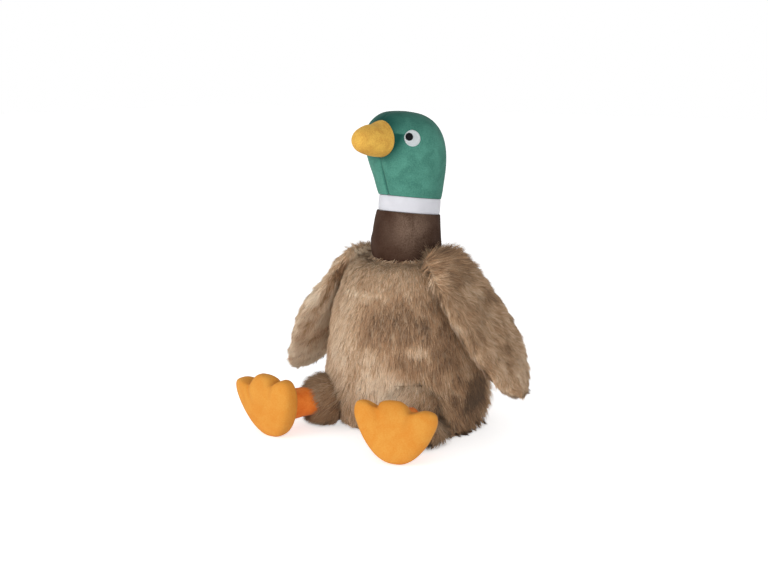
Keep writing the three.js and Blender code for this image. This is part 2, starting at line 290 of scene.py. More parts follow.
body_folds = [(0.133, 0.0015, 0.004), (0.089, 0.0018, 0.006)]
fold_run = 0.12
body_lumps = [(0.0012, 0.09, 11), (0.0006, 0.035, 12)]
settle_run = 0.02
seam_gap = 0.0003
skirt_height = 0.02
skirt_width = 0.0182
skirt_middle = np.radians(64)
skirt_spread = np.radians(31)
skirt_tuck = 0.006
skirt_tuck_turn = 1.8


def near(value, at, reach, power=2):
    """How near a value is to another: 1 there, and fading out past its reach."""
    return np.exp(-(((value - at) / reach) ** power))


def ramp(value, start, run):
    """A share that rises from 0 at its start to 1 at the end of its run."""
    return np.clip((value - start) / run, 0, 1)


def folds(height, places):
    """How deep folds are at a height, each given as its height, its depth and its width."""
    return sum(deep * near(height, at, wide) for at, deep, wide in places)


def ripples(places, layers):
    """A sum of smooth random values, each given as its strength, its size and its seed."""
    return sum(strength * ripple(places, size, seed) for strength, size, seed in layers)


def hip_centre(side):
    """The middle of a thigh's ball."""
    angle = hip_angles[side]
    return np.array([hip_out * np.sin(angle), -hip_out * np.cos(angle), hip_height])


def clear_of_ball(points, centre, radius):
    """The points, with those inside a ball pushed out to its surface."""
    away = points - np.asarray(centre)
    distance = np.linalg.norm(away, axis=-1, keepdims=True)
    return np.asarray(centre) + away * np.maximum(radius / np.maximum(distance, 1e-9), 1)


def clear_of_wing_root(points, side, radius):
    """The points, with those inside a wing's root pushed out from the root's axis."""
    centre = np.asarray(wing_root[side])
    away = (points - centre) * (1, 0, 1)
    distance = np.linalg.norm(away, axis=-1, keepdims=True)
    pushed = points + away * (np.maximum(radius / np.maximum(distance, 1e-9), 1) - 1)
    beside = np.abs(points[..., 1:2] - centre[1]) < wing_root_reach
    return np.where(beside, pushed, points)


def azimuth(places):
    """The direction of each place from the upright axis, from the front towards the toy's left."""
    return np.arctan2(places[..., 0], -places[..., 1])


def skirt(places):
    """How far the body's lower edge is pushed out beside the left leg, and drawn in behind it."""
    turn = (azimuth(places) - skirt_middle) / skirt_spread
    side = skirt_width * near(turn, 0, 1) - skirt_tuck * near(turn, skirt_tuck_turn, 1)
    return side * (1 - ramp(places[..., 2], 0, skirt_height)) ** 1.5


def body_grid(inset, angles, rows):
    """The body's surface at an inset, dimpled where the neck, the wings and the thighs join it."""
    grid = turned(outline(body_shares, belly_radius, body_height, inset, rows), angles, body_depth)
    height = grid[..., 2]
    fold = folds(height, body_folds) * (0.6 + 0.4 * ripple(grid * (1, 1, 0), fold_run, 13))
    settle = ramp(height, 0, settle_run) * ramp(body_height - height, 0, settle_run)
    rise = (ripples(grid, body_lumps) - fold) * settle + skirt(grid)
    grid = grid + facing(grid, False) * rise[..., None]
    grid = clear_of_ball(grid, neck_pivot, neck_root_radius + seam_gap)
    for side in hip_angles:
        grid = clear_of_ball(grid, hip_centre(side), thigh_radius + seam_gap - pile_root + inset)
        grid = clear_of_wing_root(grid, side, wing_root_radius + inset - 2 * pile_root)
    grid[..., 2] = np.maximum(grid[..., 2], backing)
    return grid


def noise(tree, scale, detail, distortion=0.0):
    """The socket of a soft noise over a piece."""
    place = add_node(tree, "ShaderNodeTexCoord").outputs["Object"]
    inputs = {"Vector": place, "Scale": scale, "Detail": detail, "Distortion": distortion}
    return add_node(tree, "ShaderNodeTexNoise", inputs).outputs["Fac"]


def fibre_material():
    """White polyester fibre: a soft tangle, painted a faint grey in its hollows as shade."""
    material, tree, shader = cloth_material("white_fibre", 1.0, sheen=0.5)
    tangle = noise(tree, 400, 6, 2)
    # The tangle that gives the relief also sets the colour: painted shade, greyer where the fibre
    # dips.
    colour = mix_colours(tree, tangle, (0.72, 0.72, 0.7, 1), (0.93, 0.92, 0.9, 1))
    tree.links.new(colour, shader.inputs["Base Color"])
    bump(tree, shader, tangle, 0.001)
    return material


white_fibre = fibre_material()


def stuff(name, grid, body, node, fill):
    """A stuffing: a grid whose two end rows are capped, so that it closes."""
    caps = [np.repeat(grid[row].mean(0)[None, None], grid.shape[1], 1) for row in (0, -1)]
    piece = closed_piece(name, np.concatenate([caps[0], grid, caps[1]]), white_fibre)
    fit_piece(piece, body, "filling_fibre", node, fill=fill)


body_stuffing_grid = body_grid(fur_depth, angles_round(96), 60)
body_stuffing_grid[..., 2] = np.maximum(body_stuffing_grid[..., 2], pouch_high.z + stuffing_gap)
stuff("body_stuffing", body_stuffing_grid, "torso", "body_filling", 0.75)

# Body covers. Sheared plush fur on a knitted backing: a front and a back panel that are sewn
# together down the sides, and a round base panel. The pile is combed down and has light tips.
tuft_spread = 0.0024
tuft_tightness = 0.6
strands_in_tuft = 12
strand_width = 0.00046
strand_ridge = 0.00023
strand_tone = 0.16
strand_lengths = (0.7, 1.15)
strand_widths = (0.7, 1.3)
strand_wander = 0.12
strand_roll = 0.6
strand_softness = 0.75
ridge_share = 0.4
tuft_gather = 0.35
ragged_gather = 0.4
fur_tufts = 3700
body_pile = 0.0095
body_tone = 0.41
body_tone_ripples = [(0.05, 0.03, 26), (0.055, 0.011, 24), (0.0825, 0.005, 25)]
body_lift = 17
body_lift_limits = (4, 62)
comb_drift = 0.07
comb_tangle = 0.18
comb_pull = 1.5
brushed = np.array([0.36, -0.48, 0])
swept = np.array([0.5, 0.8, 0.35])
floor_clearance = 0.0003
neck_clear = 0.0345
neck_fade = 0.007
thigh_clear = 0.0225
drape_slant = 0.15
drape_reach = 0.044
drape_fade = 0.01
drape_rise = 0.008
drape_rim = 0.0025
drape_rim_width = 0.0045
thigh_flares = {"left": 0.42, "right": 0}
ragged_turn = (108, 42)
ragged_height = 0.03
ragged_tangle = 0.5
ragged_tone = 0.12
hump_turn = (88, 30)
hump_rise = (0.148, 0.01)
fluffy_rise = (0.15, 0.012)
high_rise = (0.115, 0.03)
firm_rise = (0.08, 0.02)
low_height = 0.035
crease_turn = (-10, 24)
crease_height = 0.1345
crease_width = 0.0022
parting = (0.004, 0.0042)
parting_depth = 0.62
# Tone changes by part of the body's fur: the crease's is a painted highlight along the fold, the
# low one painted shade towards the floor, and those by the neck and on the top painted light that
# lifts the shade there.
body_tones_and_painted_light = {"crease": 0.28, "low": -0.12, "by_neck": 0.1, "fluffy": 0.06, "draped": 0.06}
body_lengths = {
    "fluffy": 0.1, "by_neck": 0.1, "ragged": 0.3, "low": -0.2, "hump": 0.7, "firm": -0.2,
    "over_thigh": 0.3, "draped": 0.8,
}
body_lifts = {
    "fluffy": 6, "by_neck": 10, "ragged": 14, "hump": 21, "over_thigh": 4, "draped": 42,
}
# Patches of the body's fur, each as direction from the front, height, width, height span and tone
# change: partly where the pile lies another way, and partly painted light and shade, a lighter
# patch on the toy's right front and a painted shadow low on its left side under the wing.
fur_tone_and_shade_patches = [
    (-24, 0.08, 17, 0.06, 0.18), (24, 0.111, 32, 0.024, -0.33), (8, 0.08, 9, 0.008, 0.22),
    (42, 0.085, 8, 0.006, 0.3), (34, 0.072, 12, 0.014, -0.32), (18, 0.052, 22, 0.02, 0.36),
    (62, 0.095, 15, 0.04, -0.3), (94, 0.044, 19, 0.022, -0.5), (71, 0.054, 7, 0.007, -0.3),
    (80, 0.02, 26, 0.024, -0.3), (170, 0.09, 50, 0.035, 0.05), (52, 0.04, 13, 0.016, -0.16),
]
patch_lean = 0.00015


def scatter(grid, out, count, seed):
    """Even random places on a grid's surface, each with the outward direction there."""
    draw = np.random.default_rng(seed)
    a, b, c = grid[:-1, :-1], grid[:-1, 1:], grid[1:, :-1]
    area = np.linalg.norm(np.cross(b - a, c - a), axis=-1).ravel()
    total = np.cumsum(area)
    cell = np.searchsorted(total, (np.arange(count) + draw.uniform(size=count)) / count * total[-1])
    row, column = np.unravel_index(np.minimum(cell, len(area) - 1), a.shape[:2])
    u, v = draw.uniform(size=(2, count, 1))

    def between(values):
        low = values[row, column] * (1 - u) + values[row, column + 1] * u
        high = values[row + 1, column] * (1 - u) + values[row + 1, column + 1] * u
        return low * (1 - v) + high * v

    normal = between(out)
    return between(grid), normal / np.linalg.norm(normal, axis=1, keepdims=True)


def unit(vectors):
    """The vectors with a length of 1."""
    return vectors / np.maximum(np.linalg.norm(vectors, axis=-1, keepdims=True), 1e-9)


def combed(way, normal, turn):
    """A way laid flat on the surface and turned about its outward direction."""
    flat = unit(way - (way * normal).sum(-1, keepdims=True) * normal)
    turn = turn[..., None]
    return flat * np.cos(turn) + np.cross(normal, flat) * np.sin(turn)


def pile(places, normals, ways, lengths, lifts, tones, seed, gather=tuft_gather):
    """The strands of a fur, in tufts that each lean their own way and gather a little.

    A strand is a closed sliver of four corners: a root with two sides, a ridge and the tip.
    Returns the corners, how far along its strand each one lies, its strand's tone, and a normal
    between the strand's own and the cloth's, so that the fur shades as one soft surface.
    """
    draw = np.random.default_rng(seed)
    side = np.cross(ways, normals)
    shape = (len(places), strands_in_tuft, 1)
    lean = unit(ways * np.cos(lifts)[:, None] + normals * np.sin(lifts)[:, None])
    spread = draw.normal(size=(2, *shape)) * tuft_spread * tuft_tightness
    root = places[:, None] + spread[0] * ways[:, None] + spread[1] * side[:, None]
    wander = draw.normal(size=(2, *shape)) * strand_wander
    way = unit(lean[:, None] + wander[0] * side[:, None] + wander[1] * normals[:, None])
    long = lengths[:, None, None] * draw.uniform(*strand_lengths, shape)
    tip = root + way * long
    gather = np.broadcast_to(gather, len(places))[:, None, None]
    tip += (places[:, None] + lean[:, None] * long - tip) * gather * draw.uniform(size=shape)
    roll = draw.normal(size=shape) * strand_roll
    across = unit(side[:, None] * np.cos(roll) + normals[:, None] * np.sin(roll))
    rise = np.cross(across, way)
    rise *= np.sign((rise * normals[:, None]).sum(-1, keepdims=True))
    half = across * strand_width / 2 * draw.uniform(*strand_widths, shape)
    ridge = root * (1 - ridge_share) + tip * ridge_share + rise * strand_ridge
    corners = np.stack([root - half, root + half, ridge, tip], 2)
    corners[..., 2] = np.maximum(corners[..., 2], floor_clearance)
    along = np.broadcast_to([0, 0, ridge_share, 1.0], corners.shape[:3])
    tone = tones[:, None] + draw.normal(size=shape[:2]) * strand_tone
    soft = unit(normals[:, None] + strand_softness * rise)
    soft = np.broadcast_to(soft[:, :, None], corners.shape)
    return corners.reshape(-1, 3), along.ravel(), np.repeat(tone.ravel(), 4), soft.reshape(-1, 3)


strand_faces = np.array([[0, 2, 3], [2, 1, 3], [0, 3, 1], [0, 1, 2]])
strand_map = np.array([[0.1, 0.1], [0.9, 0.1], [0.5, 0.35], [0.5, 0.95]])
backing_share = 0.1


def panel(grid, thickness, closed=False, core=None):
    """A cloth panel on a grid: the points and faces of its two sides and its cut edges."""
    rows, columns = grid.shape[:2]
    count = rows * columns
    inner = grid - thickness * facing(grid, closed, core)
    index = np.arange(count).reshape(rows, columns)
    ring = [0] if closed else []
    edges = [np.append(index[0], index[0][ring]), np.append(index[-1], index[-1][ring])]
    if not closed:
        edges += [index[:, 0], index[:, -1]]
    outer = grid_faces(rows, columns, closed)
    rims = [np.stack([e[:-1], e[1:], e[1:] + count, e[:-1] + count], 1) for e in edges]
    points = np.concatenate([grid.reshape(-1, 3), inner.reshape(-1, 3)])
    return points, np.concatenate([outer, outer[:, ::-1] + count, *rims])


def bake_map(cloth, count):
    """A flat place for each corner: the backing in a strip, and each strand in a cell above it."""
    flat = (cloth - cloth.min(0)) / np.ptp(cloth, axis=0)
    flat = flat[:, [0, 2]] * (1, backing_share * 0.95)
    cells = int(np.ceil(np.sqrt(count)))
    cell = np.arange(count)
    corner = np.stack([cell % cells, cell // cells], 1)[:, None] + strand_map
    corner = corner.reshape(-1, 2) / cells * (1, 1 - backing_share) + (0, backing_share)
    return np.concatenate([flat, corner])


def read_out(data, attribute, size, kind=float):
    """The values that a mesh keeps for each of its points, corners or faces."""
    values = np.empty(size, kind)
    data.foreach_get(attribute, values)
    return values


def fur_piece(name, grid, strands, closed=False, core=None):
    """A fur panel: its backing cloth and the strands that grow on it, in one mesh."""
    corners, along, tone, soft = strands
    piece = make_piece(name, *panel(grid, backing, closed, core), fur_backing)
    mesh = piece.data
    first, low, count = len(mesh.vertices), len(mesh.polygons), len(corners) // 4
    cloth = read_out(mesh.vertices, "co", first * 3)
    starts = read_out(mesh.polygons, "loop_start", low, int)
    loops = read_out(mesh.loops, "vertex_index", len(mesh.loops), int)
    slivers = (strand_faces[None] + 4 * np.arange(count)[:, None, None]).ravel() + first
    starts = np.append(starts, len(loops) + 3 * np.arange(len(slivers) // 3))
    loops = np.append(loops, slivers)
    mesh.clear_geometry()
    mesh.vertices.add(first + len(corners))
    mesh.vertices.foreach_set("co", np.append(cloth, corners.ravel()))
    mesh.loops.add(len(loops))
    mesh.loops.foreach_set("vertex_index", loops)
    mesh.polygons.add(len(starts))
    mesh.polygons.foreach_set("loop_start", starts)
    mesh.update(calc_edges=True)
    mesh.validate()
    mesh.materials.append(brown_pile)
    mesh.polygons.foreach_set("material_index", (np.arange(len(starts)) >= low).astype(int))
    mesh.shade_smooth()
    mesh.normals_split_custom_set_from_vertices(np.concatenate([np.zeros((first, 3)), soft]))
    for label, values in (("along", along), ("tone", tone)):
        attribute = mesh.attributes.new(label, "FLOAT", "POINT")
        attribute.data.foreach_set("value", np.append(np.zeros(first), values))
    places = bake_map(cloth.reshape(-1, 3), count)[loops]
    mesh.uv_layers.new(name="OFBake").uv.foreach_set("vector", places.ravel())
    return piece


def stored(tree, name):
    """The socket of a value that a mesh stores at each of its points."""
    return add_node(tree, "ShaderNodeAttribute", attribute_name=name).outputs["Fac"]


pile_colours = [
    (0.0, (0.15, 0.095, 0.06, 1)),
    (0.35, (0.485, 0.275, 0.148, 1)),
    (0.65, (0.76, 0.525, 0.335, 1)),
    (1.0, (0.98, 0.8, 0.6, 1)),
]


def pile_material():
    """Brown pile, dark at the root and pale at the tip, in tufts that differ a little."""
    material, tree, shader = cloth_material("brown_pile", 0.75, 0.15, (1, 0.8, 0.58, 1), 0.5)
    tipped = maths(tree, "MULTIPLY", stored(tree, "along"), 0.22)
    toned = maths(tree, "ADD", tipped, stored(tree, "tone"))
    grain = ranged(tree, noise(tree, 900, 2), end=(-0.12, 0.12))
    shades = add_node(tree, "ShaderNodeValToRGB", {"Fac": maths(tree, "ADD", toned, grain)})
    stops = shades.color_ramp.elements
    while len(stops) < len(pile_colours):
        stops.new(0.5)
    for stop, (at, colour) in zip(stops, pile_colours):
        stop.position = at
        stop.color = colour
    tree.links.new(shades.outputs["Color"], shader.inputs["Base Color"])
    return material


fur_backing = woven("fur_backing", 0.0012, (0.5, 0.35, 0.23), (0.36, 0.25, 0.16), 0.0003)
brown_pile = pile_material()
down = np.array([0, 0, -1.0])


def outside(places, sources):
    """Which places lie outside every ball, given as pairs of a centre and a radius."""
    clear = np.ones(len(places), bool)
    for centre, radius in sources:
        clear &= np.linalg.norm(places - np.asarray(centre), axis=1) > radius
    return clear


def patch_tones_and_shade(places):
    """How much lighter or darker the fur is in its patches: partly where the pile lies another way,
    and partly painted light and shade, lighter on the toy's right front and a painted shadow low
    on its left side under the wing.
    """
    around = np.degrees(azimuth(places))
    patch_shade = 0
    for at, rise, wide, tall, change in fur_tone_and_shade_patches:
        lean = patch_lean * (around - at)
        away = np.hypot((around - at) / wide, (places[:, 2] - rise - lean) / tall)
        patch_shade = patch_shade + change * near(away, -0.25 * ripple(places, 0.014, 23), 1, 4)
    return patch_shade


def weighed(parts, weights):
    """The sum of the parts of a fur, each times its weight."""
    return sum(weight * parts[name] for name, weight in weights.items())


def body_parts(places):
    """How far each place lies in each part of the body's fur that grows in its own way."""
    height = places[:, 2]
    around = np.degrees(azimuth(places))
    from_neck = np.linalg.norm(np.asarray(neck_pivot) - places, axis=1)
    over_thigh = draped = 0
    for side in hip_angles:
        away = places - hip_centre(side)
        far = np.linalg.norm(away, axis=1)
        above = ramp(away[:, 2], 0, drape_rise)
        over_thigh = np.maximum(over_thigh, above * ramp(drape_reach - far, 0, drape_fade))
        rim = (1 + 0.95 * thigh_flares[side]) * (thigh_radius - pile_root) + drape_rim
        draped = np.maximum(draped, above * near(far, rim, drape_rim_width))
    level = height - crease_height - 0.0012 * ripple(places * (1, 1, 0), 0.03, 29)
    across = near(around, *crease_turn, 4)
    return {
        "over_thigh": over_thigh,
        "draped": draped,
        "by_neck": 1 - ramp(from_neck, neck_clear, neck_fade),
        "ragged": near(around, *ragged_turn) * np.clip(2 - height / ragged_height, 0, 1),
        "hump": near(around, *hump_turn) * ramp(height, *hump_rise),
        "fluffy": ramp(height, *fluffy_rise),
        "high": ramp(height, *high_rise),
        "firm": ramp(height, *firm_rise),
        "low": 1 - ramp(height, 0, low_height),
        "crease": across * near(level, 0, crease_width),
        "parted": across * near(level, *parting, 4),
    }


def body_fur(places, normals, seed):
    """The strands of the body's fur: combed down over the thighs, dark and light in patches that
    are partly painted light and shade, parted in a crease with a painted highlight along it, ragged
    low on the left, and swept up between the neck and the left wing."""
    thighs = [(hip_centre(side), thigh_clear) for side in hip_angles]
    keep = outside(places, [(neck_pivot, neck_clear), *thighs])
    places, normals = places[keep], normals[keep]
    draw = np.random.default_rng(seed + 40)
    part = body_parts(places)
    level_out = unit(places * (1, 1, 0)) + (0, 0, drape_slant)
    normals = unit(normals + part["over_thigh"][:, None] * (level_out - normals))
    tangle = comb_tangle + ragged_tangle * part["ragged"]
    turn = comb_drift * ripple(places, 0.05, 21) + tangle * ripple(places, 0.012, 22)
    ways = combed(down + brushed * part["high"][:, None], normals, turn)
    for name, aim in (("by_neck", np.asarray(neck_pivot) - places), ("hump", swept)):
        share = part[name][:, None]
        ways = unit(ways * (1 - share) + comb_pull * combed(aim, normals, turn) * share)
    tones = body_tone + patch_tones_and_shade(places) + weighed(part, body_tones_and_painted_light)
    tones = tones + ripples(places, body_tone_ripples)
    tones = tones - ragged_tone * part["ragged"] * ripple(places, 0.014, 30)
    longer = 1 + 0.15 * ripple(places, 0.012, 27) + weighed(part, body_lengths)
    uneven = np.clip(1 + 0.35 * part["ragged"] * draw.normal(size=len(places)), 0.4, 1.5)
    lengths = body_pile * longer * (1 - parting_depth * part["parted"]) * uneven
    part["ragged"] *= 0.7 + ripple(places, 0.011, 31) + 0.6 * draw.normal(size=len(places))
    lifts = body_lift + 6 * ripple(places, 0.013, 28) + weighed(part, body_lifts)
    lifts = np.radians(np.clip(lifts, *body_lift_limits))
    gather = np.clip(tuft_gather + ragged_gather * part["ragged"], 0, 0.9)
    return pile(places, normals, ways, lengths, lifts, tones, seed, gather)


front_half = angles_round(91, -np.pi, 0.5)
back_half = angles_round(91, 0, 0.5)
for name, angles, node, seed in (
    ("body_front_fur", front_half, "body_front_panel", 31),
    ("body_back_fur", back_half, "body_back_panel", 32),
):
    grid = body_grid(pile_root, angles, 60)
    strands = body_fur(*scatter(grid, facing(grid, False), fur_tufts, seed), seed)
    cover = fur_piece(name, grid, strands)
    fit_piece(cover, "torso", "brown_fur", node, fill=0.75)

base_tufts = 700
base_pile = 0.009
base_lift = np.radians(6)
base_tone = 0.3
base_radius = belly_radius * body_shares[0][0] - pile_root
base_grid = turned(smooth_line([(0, 0), (base_radius, 0)], 24), angles_round(96), body_depth)
base_grid *= 1 + 0.9 * skirt(base_grid)[..., None] / base_radius
base_grid[..., 2] = 2 * backing
places, normals = scatter(base_grid, np.broadcast_to(down, base_grid.shape), base_tufts, 33)
places = places - down * backing
ways = combed(places * (1, 1, 0), normals, 0.5 * ripple(places, 0.03, 34))
same = np.ones(len(places))
strands = pile(places, normals, ways, same * base_pile, same * base_lift, same * base_tone, 35)
base = fur_piece("body_base_fur", base_grid, strands, closed=True)
fit_piece(base, "torso", "brown_fur", "body_base_panel", fill=0.5)

# Neck. A tapered sleeve of dark brown velour, sewn into the top of the body and stuffed. It leans
# back a little and creases where it bends over the body.
neck_turn = np.radians(-6)
neck_tilt = np.radians(-7)
neck_length = 0.0295
neck_top_radius = 0.031
neck_foot_angle = np.radians(-40)
velour_thickness = 0.0012
velour_stuffing_gap = 0.0018
neck_folds = [(-0.002, 0.0006, 0.0022), (0.008, 0.0003, 0.003)]
neck_lump = 0.0004
# Where the painted patch of light sits on the neck: its direction from the front and its height,
# each with its reach.
lit_patch_turn = (50, 36)
lit_patch_height = (0.014, 0.023)
velour_grain = 0.0012
lean_back = Matrix.Rotation(neck_turn, 4, "Z") @ Matrix.Rotation(neck_tilt, 4, "X")
neck_frame = Matrix.Translation(neck_pivot) @ lean_back


def placed(points, matrix):
    """The points moved by a matrix."""
    matrix = np.array(matrix)
    return points @ matrix[:3, :3].T + matrix[:3, 3]


def arc(radius, start, end, steps):
    """Points of a circle about the origin, as radius and height."""
    angle = np.linspace(start, end, steps)
    return np.stack([radius * np.cos(angle), radius * np.sin(angle)], 1)


def neck_grid(inset, angles):
    """The neck's surface at an inset, from its round foot up to the collar, with soft folds."""
    foot = arc(neck_root_radius - inset, neck_foot_angle, 0, 20)
    share = np.linspace(0, 1, 30)[1:, None]
    top = foot[-1] * (1 - share) + np.array([neck_top_radius - inset, neck_length]) * share
    grid = turned(np.concatenate([foot, top]), angles)
    fold = folds(grid[..., 2], neck_folds) * (0.5 + 0.5 * ripple(grid * (1, 1, 0), 0.05, 41))
    return grid + facing(grid, True) * (neck_lump * ripple(grid, 0.02, 42) - fold)[..., None]


def nap_group():
    """Short pile: fine grain over patches where it leans another way, as a colour and a height."""
    inputs = {"Light": "Color", "Dark": "Color", "Patch Size": "Float", "Grain Size": "Float"}
    group, given, result = shader_group("velour_nap", inputs, {"Color": "Color", "Height": "Float"})
    patches, grain = (
        noise(group, maths(group, "DIVIDE", 1.0, given.outputs[size]), detail, distortion)
        for size, detail, distortion in (("Patch Size", 2.0, 0.6), ("Grain Size", 3.0, 0.3))
    )
    factor = ranged(group, maths(group, "ADD", patches, grain), start=(0.72, 1.28))
    colour = mix_colours(group, factor, given.outputs["Dark"], given.outputs["Light"])
    group.links.new(colour, result.inputs["Color"])
    group.links.new(grain, result.inputs["Height"])
    return group


velour_nap = nap_group()


def velour(name, light, dark, deep, patch_size, sheen=0.1, sheen_colour=(1, 1, 1, 1)):
    """Short-pile velour in two close shades, mixed towards a third by each point's stored
    seam_and_shade value: darker where stitching opens the pile and where shade is painted.
    """
    material, tree, shader = cloth_material(name, 0.85, sheen, sheen_colour)
    inputs = {"Light": (*light, 1), "Dark": (*dark, 1), "Patch Size": patch_size}
    inputs["Grain Size"] = velour_grain
    nap = add_node(tree, "ShaderNodeGroup", inputs, node_tree=velour_nap)
    colour = mix_colours(tree, stored(tree, "seam_and_shade"), nap.outputs["Color"], (*deep, 1))
    tree.links.new(colour, shader.inputs["Base Color"])
    bump(tree, shader, nap.outputs["Height"], 0.0003, 0.6)
    return material


def velour_piece(name, grid, material, closed=False):
    """A velour panel on a grid, with no seam marked on it yet."""
    return make_piece(name, *panel(grid, velour_thickness, closed), material)


def mark_seam_and_shade(piece, shade):
    """Stores how far each point of a piece is darkened towards the deep colour, from 0 to 1: at
    seams, and as painted shade.
    """
    places = read_out(piece.data.vertices, "co", len(piece.data.vertices) * 3)
    attribute = piece.data.attributes.new("seam_and_shade", "FLOAT", "POINT")
    attribute.data.foreach_set("value", np.clip(shade(places.reshape(-1, 3)), 0, 1))


def neck_light_and_shade(places):
    """How dark the neck's velour is painted: a painted patch of light on its front left, painted
    shade towards its sides, and a little random change.
    """
    local = placed(places, neck_frame.inverted())
    turn = np.degrees(azimuth(local))
    lit_patch = near(turn, *lit_patch_turn) * near(local[:, 2], *lit_patch_height)
    return 0.8 * (1 - lit_patch) + 0.1 * ripple(local, 0.02, 44)


brown_velour = velour(
    "brown_velour", (0.17, 0.11, 0.079), (0.068, 0.038, 0.024), (0.03, 0.009, 0.003), 0.02,
    sheen=0.0,
)
sleeve_grid = placed(neck_grid(0, angles_round(96)), neck_frame)
sleeve = velour_piece("neck_velour", sleeve_grid, brown_velour, closed=True)
mark_seam_and_shade(sleeve, neck_light_and_shade)
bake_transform(sleeve)
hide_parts("neck_sleeve")
neck_stuffing = placed(neck_grid(velour_stuffing_gap, angles_round(64)), neck_frame)
stuff("neck_stuffing", neck_stuffing, "neck_and_head", "neck_filling", 0.75)

# Collar. A white satin ribbon, wrapped once round the seam between neck and head and sewn down,
# with its end folded under where it meets itself at the back.
collar_radius = 0.0302
collar_height = 0.015
ribbon_thickness = 0.0009
ribbon_lap = 0.0007
ribbon_draw = 0.0005
ribbon_lump = 0.00025
rib_width = 0.0007
lap_half_angle = np.radians(7)
lap_slope = np.radians(1.5)


def collar_grid():
    """The ribbon's outer face: flat, a little drawn in at both edges, with a lap at the back."""
    height = np.linspace(0, collar_height - seam_gap, 16)
    across = 2 * height / height[-1] - 1
    line = np.stack([collar_radius - ribbon_draw * across**6, height + neck_length + seam_gap], 1)
    angles = angles_round(192)
    grid = turned(line, angles)
    behind = np.abs(np.angle(np.exp(1j * (angles - np.pi / 2))))
    lap = ribbon_lap * ramp(lap_half_angle - behind, 0, lap_slope)
    return grid + unit(grid * (1, 1, 0)) * (lap + ribbon_lump * ripple(grid, 0.03, 51))[..., None]


def ribbon_material():
    """White satin, with fine ribs along the ribbon."""
    material, tree, shader = cloth_material("white_satin", 0.42, sheen=0.2)
    turns = maths(tree, "MULTIPLY", stored(tree, "across"), full_turn / rib_width)
    soil = noise(tree, 120, 3)
    colour = mix_colours(tree, soil, (0.6, 0.6, 0.645, 1), (0.71, 0.71, 0.755, 1))
    tree.links.new(colour, shader.inputs["Base Color"])
    bump(tree, shader, maths(tree, "SINE", turns), 0.00005)
    return material


ribbon_panel = panel(placed(collar_grid(), neck_frame), ribbon_thickness, True)
ribbon = make_piece("collar_ribbon", *ribbon_panel, ribbon_material())
ribbon_places = np.array([neck_frame.inverted() @ v.co for v in ribbon.data.vertices])
across = ribbon.data.attributes.new("across", "FLOAT", "POINT")
across.data.foreach_set("value", ribbon_places[:, 2])
fit_piece(ribbon, "neck_and_head", "collar_ribbon", "collar_band")

# Head. A left and a right panel of green velour, joined over the crown and down the throat, then
# turned, stuffed and sewn to the neck. The throat seam is pulled in and shows as a dark line.
head_height = 0.0815
head_radius = 0.0385
head_depth = 1.03
crown_forward = 0.021
head_low = neck_length + collar_height + seam_gap
head_shares = [
    (0.79, 0), (0.83, 0.07), (0.885, 0.2), (0.955, 0.35), (1, 0.5), (1, 0.63),
    (0.955, 0.745), (0.85, 0.845), (0.68, 0.925), (0.42, 0.978), (0, 1),
]
seam_width = 0.0013
throat_seam_depth = 0.0011
throat_seam_height = 0.05
crown_seam_depth = 0.0004
dart_angle = np.radians(42)
dart_depth = 0.0012
dart_width = 0.0022
dart_height = 0.006
brow_drop = 0.0035
brow_rise = (0.95, 0.12)
head_lump = 0.0004
bill_reach = 0.083
bill_depth = 0.0515
bill_half_width = 0.0177
bill_half_height = 0.0169
bill_rise = 0.058


def goes_round(angles):
    """Whether angles make a full turn, and not the half of a panel."""
    return np.ptp(angles) > 0.75 * full_turn


def head_grid(inset, angles, rows):
    """The head's surface at an inset, in the neck's frame, with its crown set forward."""
    grid = turned(outline(head_shares, head_radius, head_height, inset, rows), angles, head_depth)
    forward = crown_forward * grid[..., 2] / head_height
    grid[..., 1] -= forward
    x, y, z = np.moveaxis(grid, -1, 0)
    throat = np.clip(-y / head_radius, 0, 1) * np.clip(1.2 - z / throat_seam_height, 0, 1)
    deep = crown_seam_depth + (throat_seam_depth - crown_seam_depth) * np.clip(2 * throat, 0, 1)
    groove = deep * near(x, 0, seam_width)
    dart = near((angles - dart_angle) * head_radius, 0, dart_width) * near(z, 0, dart_height)
    front = np.clip(-(y + forward) / head_radius, 0, 1)
    brow = brow_drop * front**1.5 * near(z / head_height, *brow_rise)
    rise = head_lump * ripple(grid, 0.04, 61) - groove - dart_depth * dart - brow
    return grid + facing(grid, goes_round(angles)) * rise[..., None] + (0, 0, head_low)


def head_shade(places):
    """How dark the head's velour is painted: dark along the throat's sewn join, a painted shadow
    round the base of the bill, deepest under it, darker over the front of the crown, and painted
    shade towards the back."""
    x, y, z = (placed(places, neck_frame.inverted()) - (0, 0, head_low)).T
    low = np.clip(1.3 - z / throat_seam_height, 0, 1) * (y < 0)
    throat = 0.6 * near(x, 0, 1.1 * seam_width) * low
    ring = np.hypot(x / bill_half_width, (z - bill_rise) / bill_half_height)
    under, over = 1.4 * np.clip(1.95 - ring, 0, 1), 0.75 * np.clip(1.8 - ring, 0, 1)
    # Painted shadow round the bill's base, deepest beneath it.
    pressed = np.where(z < bill_rise, under, over) ** 1.5 * (y < -0.02)
    crown = np.clip(2.6 * z / head_height - 1.55, 0, 1) * np.clip(0.75 - y / head_radius, 0, 1)
    # Painted shade towards the back of the head.
    back = np.clip((y + 0.014) / head_radius, 0, 0.5)
    return np.maximum(throat, pressed) + 0.5 * crown + 0.5 * back


